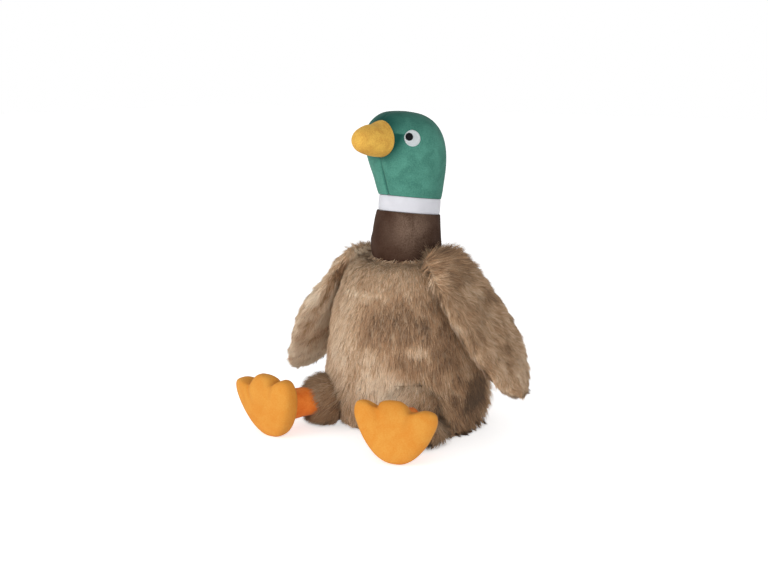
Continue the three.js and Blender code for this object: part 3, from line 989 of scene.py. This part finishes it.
green_velour = velour(
    "green_velour", (0.087, 0.282, 0.216), (0.05, 0.182, 0.139), (0.004, 0.06, 0.047), 0.013,
    sheen=0.05,
)
left_half = angles_round(73, -np.pi / 2, 0.5)
sides = {"left": 1, "right": -1}
for side, way in sides.items():
    grid = head_grid(0, left_half, 72)
    grid[..., 0] = np.maximum(grid[..., 0], seam_gap / 4) * way
    half = velour_piece(f"head_{side}_velour", placed(grid, neck_frame), green_velour)
    mark_seam_and_shade(half, head_shade)
    fit_piece(half, "neck_and_head", "head_velour", f"head_{side}_panel", fill=0.8)
inside = head_grid(velour_stuffing_gap + throat_seam_depth, angles_round(72), 48)
stuff("head_stuffing", placed(inside, neck_frame), "neck_and_head", "head_filling", 0.8)

# Bill. A blunt cone of yellow velour, an upper and a lower panel, stuffed firm and sewn on level
# at the front of the head. It swells just in front of the head and has a small dent on top.
bill_shares = [
    (0.9, 0), (1, 0.24), (0.98, 0.42), (0.9, 0.6), (0.77, 0.76), (0.6, 0.89), (0.36, 0.968), (0, 1),
]
bill_swell = (0.2, 0.0014, 0.16)
bill_dent = (0.52, 0.0016, 0.1)
level = Matrix.Rotation(-neck_tilt, 4, "X")
bill_frame = neck_frame @ Matrix.Translation((0, 0, head_low + bill_rise)) @ level


def bill_grid(inset, angles, rows):
    """The bill's surface at an inset, pointing forward along -Y in its own frame."""
    line = outline(bill_shares, bill_half_width, bill_depth, inset, rows)
    grid = turned(line, angles, bill_half_height / bill_half_width)
    along = grid[..., 2] / bill_depth
    top = np.clip(np.sin(angles), 0, 1) ** 2
    rise = (folds(along, [bill_swell]) - folds(along, [bill_dent])) * top
    grid = grid + facing(grid, goes_round(angles)) * rise[..., None]
    forward = bill_depth - bill_reach - grid[..., 2]
    return np.stack([grid[..., 0], forward, grid[..., 1]], -1)


yellow_velour = velour(
    "yellow_velour", (0.74, 0.45, 0.084), (0.56, 0.28, 0.05), (0.3, 0.13, 0.01), 0.009,
    sheen_colour=(1, 0.8, 0.4, 1),
)
upper_half = angles_round(61, 0, 0.5)
for face, way in (("upper", 1), ("lower", -1)):
    grid = bill_grid(0, upper_half * way, 50)
    grid[..., 2] = np.maximum(grid[..., 2] * way, 0) * way
    half = velour_piece(f"bill_{face}_velour", placed(grid, bill_frame), yellow_velour)
    fit_piece(half, "neck_and_head", "bill_velour", f"bill_{face}_panel", fill=0.85)
inside = bill_grid(velour_stuffing_gap, angles_round(96), 40)[:-1]
stuff("bill_stuffing", placed(inside, bill_frame), "neck_and_head", "bill_filling", 0.85)

# Eyes. Each is embroidered on its head panel: a white disc of satin stitch with a raised rim and
# a black pupil set forward on it.
eye_radius = 0.0078
pupil_radius = 0.0038
eye_angle = np.radians(53)
eye_rise = 0.055
pupil_forward = 0.0031
pupil_rise = 0.0012
stitch_width = 0.0005
stitch_relief = 0.00012
eye_upright = 0.16


def on_head(angle, rise):
    """Points of the head's smooth surface at angles from its front and heights above the collar."""
    line = outline(head_shares, head_radius, head_height, 0, 200)
    radius = np.interp(rise, line[:, 1], line[:, 0])
    x = radius * np.sin(angle)
    y = -radius * head_depth * np.cos(angle) - crown_forward * rise / head_height
    return np.stack([x, y, head_low + rise], -1)


def stitched_disc(way, radius, forward, rise, height, sunk):
    """A stitched disc on one side of the head: its outer face and its underside."""
    stitches = int(full_turn * radius / stitch_width)
    spokes = angles_round(4 * stitches)
    share = np.concatenate([np.linspace(0, 0.76, 12), np.linspace(0.78, 1, 10)])[:, None]
    across = share * (np.cos(spokes) + eye_upright * np.sin(spokes)) * radius - forward
    angle = way * (eye_angle + across / head_radius)
    disc = on_head(angle, eye_rise + rise + share * np.sin(spokes) * radius)
    out = facing(disc, True)
    rim = near(share, 0.88, 0.09)
    edge = np.sqrt(np.clip(1 - share**6, 0, 1))
    threads = 0.5 + 0.5 * np.cos(spokes * stitches)
    raised = height * edge * (0.5 + 0.5 * rim) + stitch_relief * threads * rim
    return disc + out * raised[..., None], disc - out * sunk


def thread_material(name, light, dark, sheen):
    """Shiny embroidery thread: parallel stitches, each painted lighter along its raised middle as a
    highlight.
    """
    material, tree, shader = cloth_material(name, 0.38, sheen)
    place = add_node(tree, "ShaderNodeTexCoord").outputs["Object"]
    inputs = {"Vector": place, "Scale": 1 / stitch_width, "Distortion": 0.8, "Detail": 1}
    threads = add_node(tree, "ShaderNodeTexWave", inputs, bands_direction="Z").outputs["Fac"]
    # Painted highlight: the colour follows the stitch relief and is lighter on each raised stitch.
    colour = mix_colours(tree, threads, (*dark, 1), (*light, 1))
    tree.links.new(colour, shader.inputs["Base Color"])
    bump(tree, shader, threads, stitch_relief)
    return material


white_thread = thread_material("white_thread", (0.86, 0.91, 0.92), (0.6, 0.65, 0.66), 0.15)
black_thread = thread_material("black_thread", (0.012, 0.013, 0.015), (0.003, 0.003, 0.004), 0.02)
disc_measures = (eye_radius, 0, 0, 0.0009, 0.0004)
centre_measures = (pupil_radius, pupil_forward, pupil_rise, 0.0015, -0.0004)
for side, way in sides.items():
    for name, node, slot, thread, measures in (
        ("eye_disc", "eye_white", "white_thread", white_thread, disc_measures),
        ("eye_centre", "eye_pupil", "black_thread", black_thread, centre_measures),
    ):
        top, under = stitched_disc(way, *measures)
        stack = placed(np.concatenate([top, under[::-1]]), neck_frame)
        disc = closed_piece(f"{side}_{name}", stack, thread)
        fit_piece(disc, "neck_and_head", slot, f"{side}_{node}")

# Wings. Leaf-shaped pillows of the same fur, an outer and an inner panel joined round the rim,
# lightly stuffed and hung from a seam along each shoulder.
wing_lengths = {"left": 0.15, "right": 0.1565}
wing_half_width = 0.0415
wing_half_thickness = 0.013
wing_flares = {"left": np.radians(36.5), "right": np.radians(32)}
wing_bulges = {
    "left": [(1, 0.52, 0.28, 0.006), (1, 0.93, 0.12, -0.0045), (-1, -0.04, 0.09, 0.008)],
    "right": [
        (-1, 0.14, 0.2, -0.008), (-1, 0.46, 0.16, 0.0055), (-1, 0.86, 0.2, -0.002),
        (1, 0.9, 0.2, 0.018),
    ],
}
wing_tops = {"left": -0.075, "right": -0.03}
wing_furrows = {
    "left": ((-0.004, -0.02), (0.002, -0.07), 0.3),
    "right": ((-0.019, -0.01), (-0.031, -0.068), 1),
}
furrow_width = 0.0045
furrow_depth = 0.0045
wing_lump = 0.0013
cover_press = 0.0025
stuffing_press = 0.004
press_step = 0.0005
press_steps = 60
wing_shares = [
    (0.66, 0.5, 0.02), (0.84, 0.8, 0.12), (0.97, 0.96, 0.27), (1, 1, 0.41),
    (0.97, 0.97, 0.56), (0.88, 0.9, 0.71), (0.72, 0.76, 0.85), (0.46, 0.5, 0.95), (0, 0.2, 1),
]
wing_tufts = {"outer": 2300, "inner": 1800}
wing_pile = 0.009
wing_fan = 0.5
wing_tangles = [(0.6, 0.022), (0.5, 0.01)]
wing_lift = 19
wing_ruffle = 10
shoulder_run = 0.05
crest_run = 0.035
wing_gather = 0.85
shoulder_pull = 2.5
shoulder_sweep = np.array([-0.5, 0.8, 0.35])
shoulder_fluffs = {"left": 1, "right": 0.1}
# Base tone of each wing's faces; the right wing, most of all its inner face, is painted much
# lighter to lift the shade it lies in.
wing_base_tones_and_light = {"left": {"outer": 0.34, "inner": 0.36}, "right": {"outer": 0.5, "inner": 0.79}}
# Lighter and darker patches on each wing, as place across and along it, size and tone change:
# partly mottles of the fur and partly painted light on the right wing's lit ridge beside its
# furrow.
wing_mottles_and_light = {
    "left": [
        (-0.02, -0.055, 0.008, -0.1), (0.005, -0.1, 0.009, -0.12), (-0.012, -0.12, 0.01, 0.08),
    ],
    "right": [
        (-0.014, -0.1, 0.012, -0.42), (-0.012, -0.072, 0.011, 0.3), (-0.017, -0.042, 0.008, 0.25),
        (-0.034, -0.078, 0.009, -0.25), (-0.03, -0.118, 0.011, 0.2), (-0.033, -0.055, 0.006, 0.2),
    ],
}
# Tone changes by part of a wing: the rim's is a painted highlight along its front edge, the
# furrow's painted shade in its groove.
wing_part_tones_and_light = {"tip": 0.15, "rim": 0.9, "top": -0.17, "furrow": -0.7}
wing_pile_lengths = {"top": 0.2, "crest": 0.45, "tip": -0.8}
wing_lifts = {"top": 4, "crest": 9}
body_line = outline(body_shares, belly_radius, body_height, 0, 200)


def inside_body(places, spare=0.0):
    """Which places lie inside the body's surface, or within a spare distance of it."""
    radius = np.interp(places[..., 2], body_line[:, 1], body_line[:, 0]) + spare
    across = np.hypot(places[..., 0], places[..., 1] / body_depth)
    return (across < radius) & (places[..., 2] < body_height + spare)


def wing_matrix(side, way):
    """Where a wing hangs: from the shoulder, swung out from the body."""
    return Matrix.Translation(wing_root[side]) @ Matrix.Rotation(-way * wing_flares[side], 4, "Y")


def furrow(places, side):
    """How near places on a wing, in its own frame, are to the furrow down its inner face."""
    start, end, share = wing_furrows[side]
    run = np.subtract(end, start)
    away = places[..., 1:] - np.array(start)
    at = np.clip(away @ run / (run @ run), 0, 1)
    off = np.linalg.norm(away - at[..., None] * run, axis=-1)
    return share * near(off, 0, furrow_width) * np.sqrt(1 - at**4)


def wing_grid(inset, angles, rows, side, way, spare):
    """A wing's surface at an inset, in place, pressed flat where it lies on the body."""
    top = wing_tops[side]
    shares = [(0, 0, top), (0.5, 0.3, 0.7 * top), *wing_shares]
    wide, thick, along = smooth_line(shares, rows).T[:, :, None]
    x = way * thick * (wing_half_thickness - inset) * np.sin(angles)
    y = wide * (wing_half_width - inset) * np.cos(angles)
    z = -along * (wing_lengths[side] - inset) + 0 * angles
    for edge, at, spread, size in wing_bulges[side]:
        y = y + edge * size * near(along, at, spread) * np.clip(edge * np.cos(angles), 0, 1)
    grid = np.stack([x, y, z], -1)
    grid[..., 0] += way * wing_lump * ripple(grid, 0.024, 70) * np.sin(angles)
    grid[..., 0] += way * furrow_depth * furrow(grid, side) * np.clip(-np.sin(angles), 0, 1)
    matrix = wing_matrix(side, way)
    grid = placed(grid, matrix)
    outwards = press_step * np.array(matrix.to_3x3() @ Vector((way, 0, 0)))
    for _ in range(press_steps):
        grid = np.where(inside_body(grid, spare)[..., None], grid + outwards, grid)
    return grid


def wing_parts(local, side, inner):
    """How far each place on a wing, in its own frame, lies in each part of its fur."""
    fluff = shoulder_fluffs[side]
    across, down_wing = local[:, 1] / wing_half_width, -local[:, 2]
    top = fluff * (1 - ramp(down_wing, 0, shoulder_run))
    crest = fluff * (1 - ramp(down_wing, 0, crest_run)) ** 1.5
    return {
        "top": top,
        "crest": crest * np.clip(1.5 + local[:, 1] / 0.03, 0, 1) if inner else crest,
        "tip": np.clip(down_wing / wing_lengths[side] - 0.5, 0, 0.5),
        "edge": ramp(np.abs(across), 0.6, 0.4),
        "rim": np.clip(-across - 0.85, 0, 0.15) * (1 - top),
        "furrow": inner * furrow(local, side),
    }


def wing_fur(places, normals, side, face, matrix, seed):
    """The strands of a wing's fur: combed to the tip and out to the rim, and bushy at the
    shoulder, where they lean on the neck."""
    inner = face == "inner"
    local = placed(places, matrix.inverted())
    part = wing_parts(local, side, inner)
    fan = wing_fan * (1 - part["top"]) * (1 - 1.6 * part["tip"]) * local[:, 1] / wing_half_width
    fan = np.stack([0 * fan, fan, 0 * fan - 1], 1)
    turn = ripples(places, [(*tangle, seed + k) for k, tangle in enumerate(wing_tangles)])
    turn = (turn + 0.3 * part["top"] * ripple(places, 0.025, seed + 2)) * (1 - 0.7 * part["edge"])
    to_neck = unit(np.array(neck_pivot - matrix.to_translation()) + (0, 0, 0.01))
    lean = to_neck if inner else shoulder_sweep * np.sign((to_neck[0], 1, 1))
    lean = shoulder_pull * part["crest"][:, None] * lean
    ways = combed(fan @ np.array(matrix.to_3x3()).T + lean, normals, turn)
    tuft = ripples(places, [(1, 0.011, seed + 3), (1, 0.006, seed + 4)])
    # Painted light and shade: a lighter right wing, a highlight on the rim and shade in the furrow.
    tones = wing_base_tones_and_light[side][face] + weighed(part, wing_part_tones_and_light) + (0.13 + 0.12 * inner) * tuft
    tones = tones + 0.13 * ripple(places, 0.022, seed + 5)
    for across, along, size, change in wing_mottles_and_light[side]:
        away = np.hypot(local[:, 1] - across, local[:, 2] - along) / size
        tones = tones + change * near(away, -0.3 * ripple(places, 0.01, seed + 8), 1)
    longer = 0.2 * ripple(places, 0.012, seed + 6) + weighed(part, wing_pile_lengths)
    ruffle = wing_ruffle * ripple(places, 0.011, seed + 7) * (1 - 0.6 * part["edge"])
    lifts = np.radians(wing_lift + ruffle + weighed(part, wing_lifts))
    lengths = wing_pile * (1 + longer)
    return pile(places, normals, ways, lengths, lifts, tones, seed, gather=wing_gather)


for side, way in sides.items():
    matrix = wing_matrix(side, way)
    for face, start in (("outer", 0), ("inner", -np.pi)):
        grid = wing_grid(pile_root, angles_round(41, start, 0.5), 50, side, way, cover_press)
        core = grid[:, [0, -1]].mean(1, keepdims=True)
        seed = 71 + 10 * (way + 1) + len(face)
        places, normals = scatter(grid, facing(grid, False, core), wing_tufts[face], seed)
        strands = wing_fur(places, normals, side, face, matrix, seed)
        half = fur_piece(f"{side}_wing_{face}_fur", grid, strands, core=core)
        fit_piece(half, f"{side}_wing", "brown_fur", f"{side}_wing_{face}_panel", fill=0.45)
    inside = wing_grid(fur_depth, angles_round(72), 48, side, way, stuffing_press)[6:]
    stuff(f"{side}_wing_stuffing", inside, f"{side}_wing", f"{side}_wing_filling", 0.45)

# Legs. A ball of fur for the thigh, and a short shank of deep orange velour that ends in a round
# ankle. Both are sewn into one tube and stuffed through the hip.
shank_radius = 0.014
ankle_reach = 0.045
ankle_radius = 0.015
shank_lump = 0.0005
facing_angles = {"left": np.radians(20), "right": np.radians(-20)}
thigh_pile = 0.0125
thigh_lift = 18
thigh_spreads = {"left": 0.92, "right": -0.08}
flare_reach = 0.009
flare_rise = 0.012
thigh_tops = {"left": -0.3, "right": 0.15}
thigh_lows = {"left": 0.4, "right": 0}
thigh_tones_and_shade = {"left": 0.41, "right": 0.26}
thigh_patch_shades = {"left": 1, "right": 0}
thigh_top_rise = (0.026, 0.012)
thigh_tufts = 1100
leg_seeds = {"left": 91, "right": 96}


def leg_matrix(side):
    """Where a leg lies: at its hip, turned about the upright axis, with the shank along -Y."""
    place = Matrix.Translation((*hip_centre(side)[:2], 0))
    lift = Matrix.Translation((0, 0, hip_height)) @ Matrix.Rotation(np.radians(90), 4, "X")
    return place @ Matrix.Rotation(facing_angles[side], 4, "Z") @ lift


def thigh_line(inset):
    """The thigh's outline, from its back to the opening that the shank comes out of."""
    radius = thigh_radius - inset
    return arc(radius, -np.pi / 2, np.arccos((shank_radius + seam_gap) / radius), 40)


def shank_line(inset):
    """The shank's outline, from inside the thigh to the end of its round ankle."""
    tube = np.linspace(thigh_radius / 2, ankle_reach, 24)
    share = (tube - tube[0]) / (tube[-1] - tube[0])
    radius = shank_radius - inset + (ankle_radius - shank_radius) * share**3
    end = arc(ankle_radius - inset, 0, np.pi / 2, 20)[1:] + (0, ankle_reach)
    return np.concatenate([np.stack([radius, tube], 1), end])


def settled(grid, side):
    """A ball's points with its lower half spread, as the thigh's loose fur rests on the floor, and
    its top drawn up where it runs into the body's fur."""
    middle = hip_centre(side)
    across = np.hypot(grid[..., 0], grid[..., 1] / body_depth)
    apart = np.maximum(across - np.interp(grid[..., 2], body_line[:, 1], body_line[:, 0]), 0)
    away = grid - middle
    upper = ramp(away[..., 2], 0, flare_rise)
    away = away * (1 + thigh_flares[side] * upper * near(apart, 0, flare_reach))[..., None]
    low = np.clip(-away[..., 2:] / thigh_radius, 0, 1)
    wide = (1 - low**4) ** 0.25 / np.maximum(np.sqrt(1 - low**2), 0.2)
    wide = np.clip(wide, 1, 1.3) * (1 + thigh_spreads[side] * low)
    return middle + away * np.concatenate([wide, wide, np.ones_like(low)], -1)


def thigh_fur(places, normals, side, along, seed):
    """The strands of a thigh's fur: combed along the leg and down. They are darker towards the
    floor and on the right thigh, partly painted shade, and the left thigh carries the body's
    patches of tone and painted light and shade.
    """
    keep = ~inside_body(places, -0.002)
    places, normals = places[keep], normals[keep]
    ways = combed(along + 0.5 * down, normals, 0.4 * ripple(places, 0.02, seed))
    low = np.clip(1.4 - places[:, 2] / 0.02, 0, 1)
    top = thigh_tops[side] * ramp(places[:, 2], *thigh_top_rise)
    tones = ripples(places, [(0.08, 0.009, seed + 1), (0.06, 0.03, seed + 2)])
    tones = tones + thigh_tones_and_shade[side] * (1 - 0.5 * low)
    tones = tones + thigh_patch_shades[side] * patch_tones_and_shade(places) * (1 - low)
    lifts = thigh_lift + 8 * low + 24 * top + 5 * ripple(places, 0.012, seed + 3)
    longer = 0.15 * ripple(places, 0.01, seed + 4) + 0.7 * top + thigh_lows[side] * low
    return pile(places, normals, ways, thigh_pile * (1 + longer), np.radians(lifts), tones, seed)


deep_orange_velour = velour(
    "deep_orange_velour", (0.9, 0.27, 0.045), (0.78, 0.165, 0.02), (0.36, 0.06, 0.004), 0.01
)
for side, seed in leg_seeds.items():
    leg = f"{side}_leg"
    matrix = leg_matrix(side)
    grid = settled(placed(turned(thigh_line(pile_root), angles_round(72)), matrix), side)
    along = np.array(matrix.to_3x3() @ Vector((0, 0, 1)))
    strands = thigh_fur(*scatter(grid, facing(grid, True), thigh_tufts, seed), side, along, seed)
    thigh = fur_piece(f"{side}_thigh_fur", grid, strands, closed=True)
    fit_piece(thigh, leg, "brown_fur", f"{side}_thigh_cover", fill=0.7)
    grid = turned(shank_line(0), angles_round(64))
    grid += facing(grid, True) * (shank_lump * ripple(grid, 0.012, seed + 5))[..., None]
    shank_name = f"{side}_shank_velour"
    shank = velour_piece(shank_name, placed(grid, matrix), deep_orange_velour, closed=True)
    fit_piece(shank, leg, "shank_velour", f"{side}_shank_cover", fill=0.7)
    ball = arc(thigh_radius - fur_depth, -np.pi / 2, np.radians(50), 30)
    tube = shank_line(velour_stuffing_gap)
    line = np.concatenate([ball, tube[tube[:, 1] > ball[-1, 1]]])
    inside = placed(turned(line, angles_round(64)), matrix)
    stuff(f"{side}_leg_stuffing", inside, leg, f"{side}_leg_filling", 0.7)

# Feet. Three-toed pads of orange velour, a sole panel and a top panel joined round the rim, well
# stuffed. They stand on their heels on the ankles, soles forward, and lean back a little.
foot_half_width = 0.038
foot_height = 0.0575
foot_half_thickness = 0.013
foot_forward = 0.019
heel_flat = 0.0005
foot_turns = {"left": np.radians(4), "right": np.radians(14)}
foot_leans = {"left": np.radians(-10), "right": np.radians(3)}
foot_rolls = {"left": np.radians(3), "right": np.radians(-8)}
foot_reaches = {"left": 0, "right": 0.003}
foot_skews = {"left": (0.06, 0.03, 0.935, 1), "right": (0.1, 0.06, 1.045, 1.045)}
heel_shares = [(0, -0.5), (0.25, -0.475), (0.5, -0.37), (0.76, -0.16), (0.95, 0.1), (1, 0.27)]
outer_toe_shares = [
    (0.93, 0.375), (0.7, 0.405), (0.44, 0.34), (0.36, 0.34), (0.26, 0.43), (0.12, 0.49),
]
inner_toe_shares = [
    (0.93, 0.41), (0.72, 0.44), (0.51, 0.37), (0.44, 0.37), (0.36, 0.45), (0.2, 0.49),
]
toe_valleys = {1: (0.4, 0.33), -1: (0.47, 0.37)}
toe_crease_depth = 0.002
toe_crease_width = 0.003
toe_crease_fade = 0.004
toe_crease_run = np.array([-0.006, -0.019])


def foot_matrix(side):
    """Where a foot stands: in front of its ankle, turned and rolled on the shank."""
    hip = Matrix.Translation((*hip_centre(side)[:2], 0))
    ankle = Matrix.Translation((0, -ankle_reach - foot_reaches[side], 0))
    middle = Matrix.Translation((0, -foot_forward, foot_height / 2))
    leg_turn = Matrix.Rotation(facing_angles[side], 4, "Z")
    turn = Matrix.Rotation(foot_turns[side], 4, "Z")
    lean = Matrix.Rotation(foot_leans[side], 4, "X") @ Matrix.Rotation(foot_rolls[side], 4, "Y")
    return hip @ leg_turn @ ankle @ turn @ middle @ lean


def foot_rim(inset, outer, steps):
    """The foot's outline at an inset, closed, through its heel and its three toes, and the same
    outline with its toes smoothed away. The outer side is at 1 or -1 along X."""
    outside_half = heel_shares + outer_toe_shares + [(0, 0.5)]
    inside_half = np.array(heel_shares[1:] + inner_toe_shares)[::-1] * (-1, 1)
    shares = np.concatenate([outside_half, inside_half])[::outer] * (outer, 1)
    points = shares * (foot_half_width - inset, foot_height + heel_flat - 2 * inset)
    wide = np.concatenate([points[-2:], points, points[:3]])
    rim = smooth_places(wide, 2 + np.linspace(0, len(points), steps, endpoint=False))
    waves = np.fft.fft(rim[:, 0] + 1j * rim[:, 1])
    waves[3:-2] = 0
    oval = np.fft.ifft(waves)
    return rim, np.stack([oval.real, oval.imag], 1)


def toe_creases(x, z, outer):
    """How deep the creases are that run in from the valleys between the toes, from 0 to 1."""
    crease = 0
    for toe, valley in toe_valleys.items():
        start = np.array(valley) * (foot_half_width, foot_height)
        away = np.stack([toe * outer * x, z], -1) - start
        at = np.clip(away @ toe_crease_run / (toe_crease_run @ toe_crease_run), -0.3, 1)
        off = np.linalg.norm(away - at[..., None] * toe_crease_run, axis=-1)
        crease = crease + near(off, 0, toe_crease_width) * (1 - np.clip(at, 0, 1))
    return crease


def foot_grid(inset, side, way):
    """One face of a foot at an inset, from its middle out to the rim: a puffy pad with creases
    that run in between the toes."""
    outer = sides[side]
    rim, oval = foot_rim(inset, outer, 160)
    share = np.sin(np.linspace(0, np.pi / 2, 30))[:, None]
    height = (1 - share**3) ** (1 / 3) * (foot_half_thickness - inset)
    blend = (share**4)[..., None]
    x, z = np.moveaxis(share[..., None] * (oval * (1 - blend) + rim * blend), -1, 0)
    crease = toe_creases(x, z, outer) * ramp(height, 0, toe_crease_fade)
    height = np.maximum(height - toe_crease_depth * crease, 0)
    over, up, tall, deep = foot_skews[side]
    x, z = x - over * z, z * (deep + (tall - deep) * ramp(z, 0, 0.01)) - up * x
    grid = placed(np.stack([x, way * (height + seam_gap / 4), z], -1), foot_matrix(side))
    ankle = leg_matrix(side) @ Vector((0, 0, ankle_reach))
    if way > 0:
        grid = clear_of_ball(grid, ankle, ankle_radius - inset)
    grid[..., 2] = np.maximum(grid[..., 2], floor_clearance)
    return grid


orange_velour = velour(
    "orange_velour", (0.7, 0.32, 0.056), (0.66, 0.245, 0.032), (0.56, 0.17, 0.012), 0.016,
    sheen_colour=(1, 0.75, 0.35, 1),
)
for side, outer in sides.items():
    to_foot = foot_matrix(side).inverted()

    def toe_shade(places):
        """Painted shade: a foot's velour darker in the creases between its toes."""
        local = placed(places, to_foot)
        return 0.45 * toe_creases(local[:, 0], local[:, 2], outer)

    for face, way in (("sole", -1), ("top", 1)):
        grid = foot_grid(0, side, way)
        half = velour_piece(f"{side}_foot_{face}_velour", grid, orange_velour, closed=True)
        mark_seam_and_shade(half, toe_shade)
        fit_piece(half, f"{side}_foot", "foot_velour", f"{side}_foot_{face}_panel", fill=0.85)
    sole, top = (foot_grid(velour_stuffing_gap, side, way) for way in (-1, 1))
    inside = np.concatenate([sole, top[::-1]])
    stuff(f"{side}_foot_stuffing", inside, f"{side}_foot", f"{side}_foot_filling", 0.85)

# Camera, at the photograph's place: to the toy's left of its front and a little above it.
camera_azimuth = np.radians(37)
camera_distance = 1.2
camera_height = 0.3553
camera_pitch = np.radians(10.57)
camera_aside = 0.0247
lens_width = 57.74

back = np.array([np.sin(camera_azimuth), -np.cos(camera_azimuth), 0])
aside = np.array([-np.cos(camera_azimuth), -np.sin(camera_azimuth), 0])
camera_data = bpy.data.cameras.new("camera")
camera_data.lens = lens_width
camera = bpy.data.objects.new("camera", camera_data)
camera.location = back * camera_distance + aside * camera_aside + (0, 0, camera_height)
look = Vector(-back * np.cos(camera_pitch) - np.array([0, 0, np.sin(camera_pitch)]))
camera.rotation_euler = look.to_track_quat("-Z", "Y").to_euler()
bpy.context.scene.collection.objects.link(camera)
bpy.context.scene.camera = camera

# Studio: white walls under a dimmer ceiling, a lit white table, and a wide soft light at the left.
scene = bpy.context.scene
scene.view_settings.view_transform = "Standard"
wall_light = 1.0
ceiling_light = 0.46
key_power = 10.5
key_size = 0.9
fill_power = 4.2
fill_size = 0.6
table_glows = (0.12, 0.56)
table_half = 6


def studio_world():
    """Light from all round, full at the horizon and dimmer overhead."""
    world = bpy.data.worlds.new("studio")
    world.use_nodes = True
    tree = world.node_tree
    way = add_node(tree, "ShaderNodeTexCoord").outputs["Generated"]
    up = add_node(tree, "ShaderNodeSeparateXYZ", {0: way}).outputs["Z"]
    light = ranged(tree, up, start=(0.08, 0.9), end=(wall_light, ceiling_light))
    background = tree.nodes["Background"]
    background.inputs["Color"].default_value = (1, 1, 1, 1)
    tree.links.new(light, background.inputs["Strength"])
    return world


def softbox(name, place, aim, size, power):
    """A square area light that faces a point."""
    data = bpy.data.lights.new(name, "AREA")
    data.size = size
    data.energy = power
    lamp = bpy.data.objects.new(name, data)
    lamp.location = place
    lamp.rotation_euler = (Vector(aim) - Vector(place)).to_track_quat("-Z", "Y").to_euler()
    scene.collection.objects.link(lamp)


scene.world = studio_world()
softbox("key_light", back * 0.9 + aside * 1.5 + (0, 0, 0.45), (0, 0, 0.12), key_size, key_power)
softbox("fill_light", back * 1.25 - aside * 0.15 + (0, 0, 0.2), (0, 0, 0.1), fill_size, fill_power)

table_material, table_tree, table_shader = cloth_material("studio_table", 0.9)
table_shader.inputs["Base Color"].default_value = (0.95, 0.95, 0.95, 1)
table_shader.inputs["Emission Color"].default_value = (1, 1, 1, 1)
seen = add_node(table_tree, "ShaderNodeLightPath").outputs["Is Camera Ray"]
table_glow = ranged(table_tree, seen, end=table_glows)
table_tree.links.new(table_glow, table_shader.inputs["Emission Strength"])
corners = [(x * table_half, y * table_half, 0) for x, y in ((-1, -1), (1, -1), (1, 1), (-1, 1))]
table = make_piece("studio_table", np.array(corners), np.array([[0, 1, 2, 3]]), table_material)
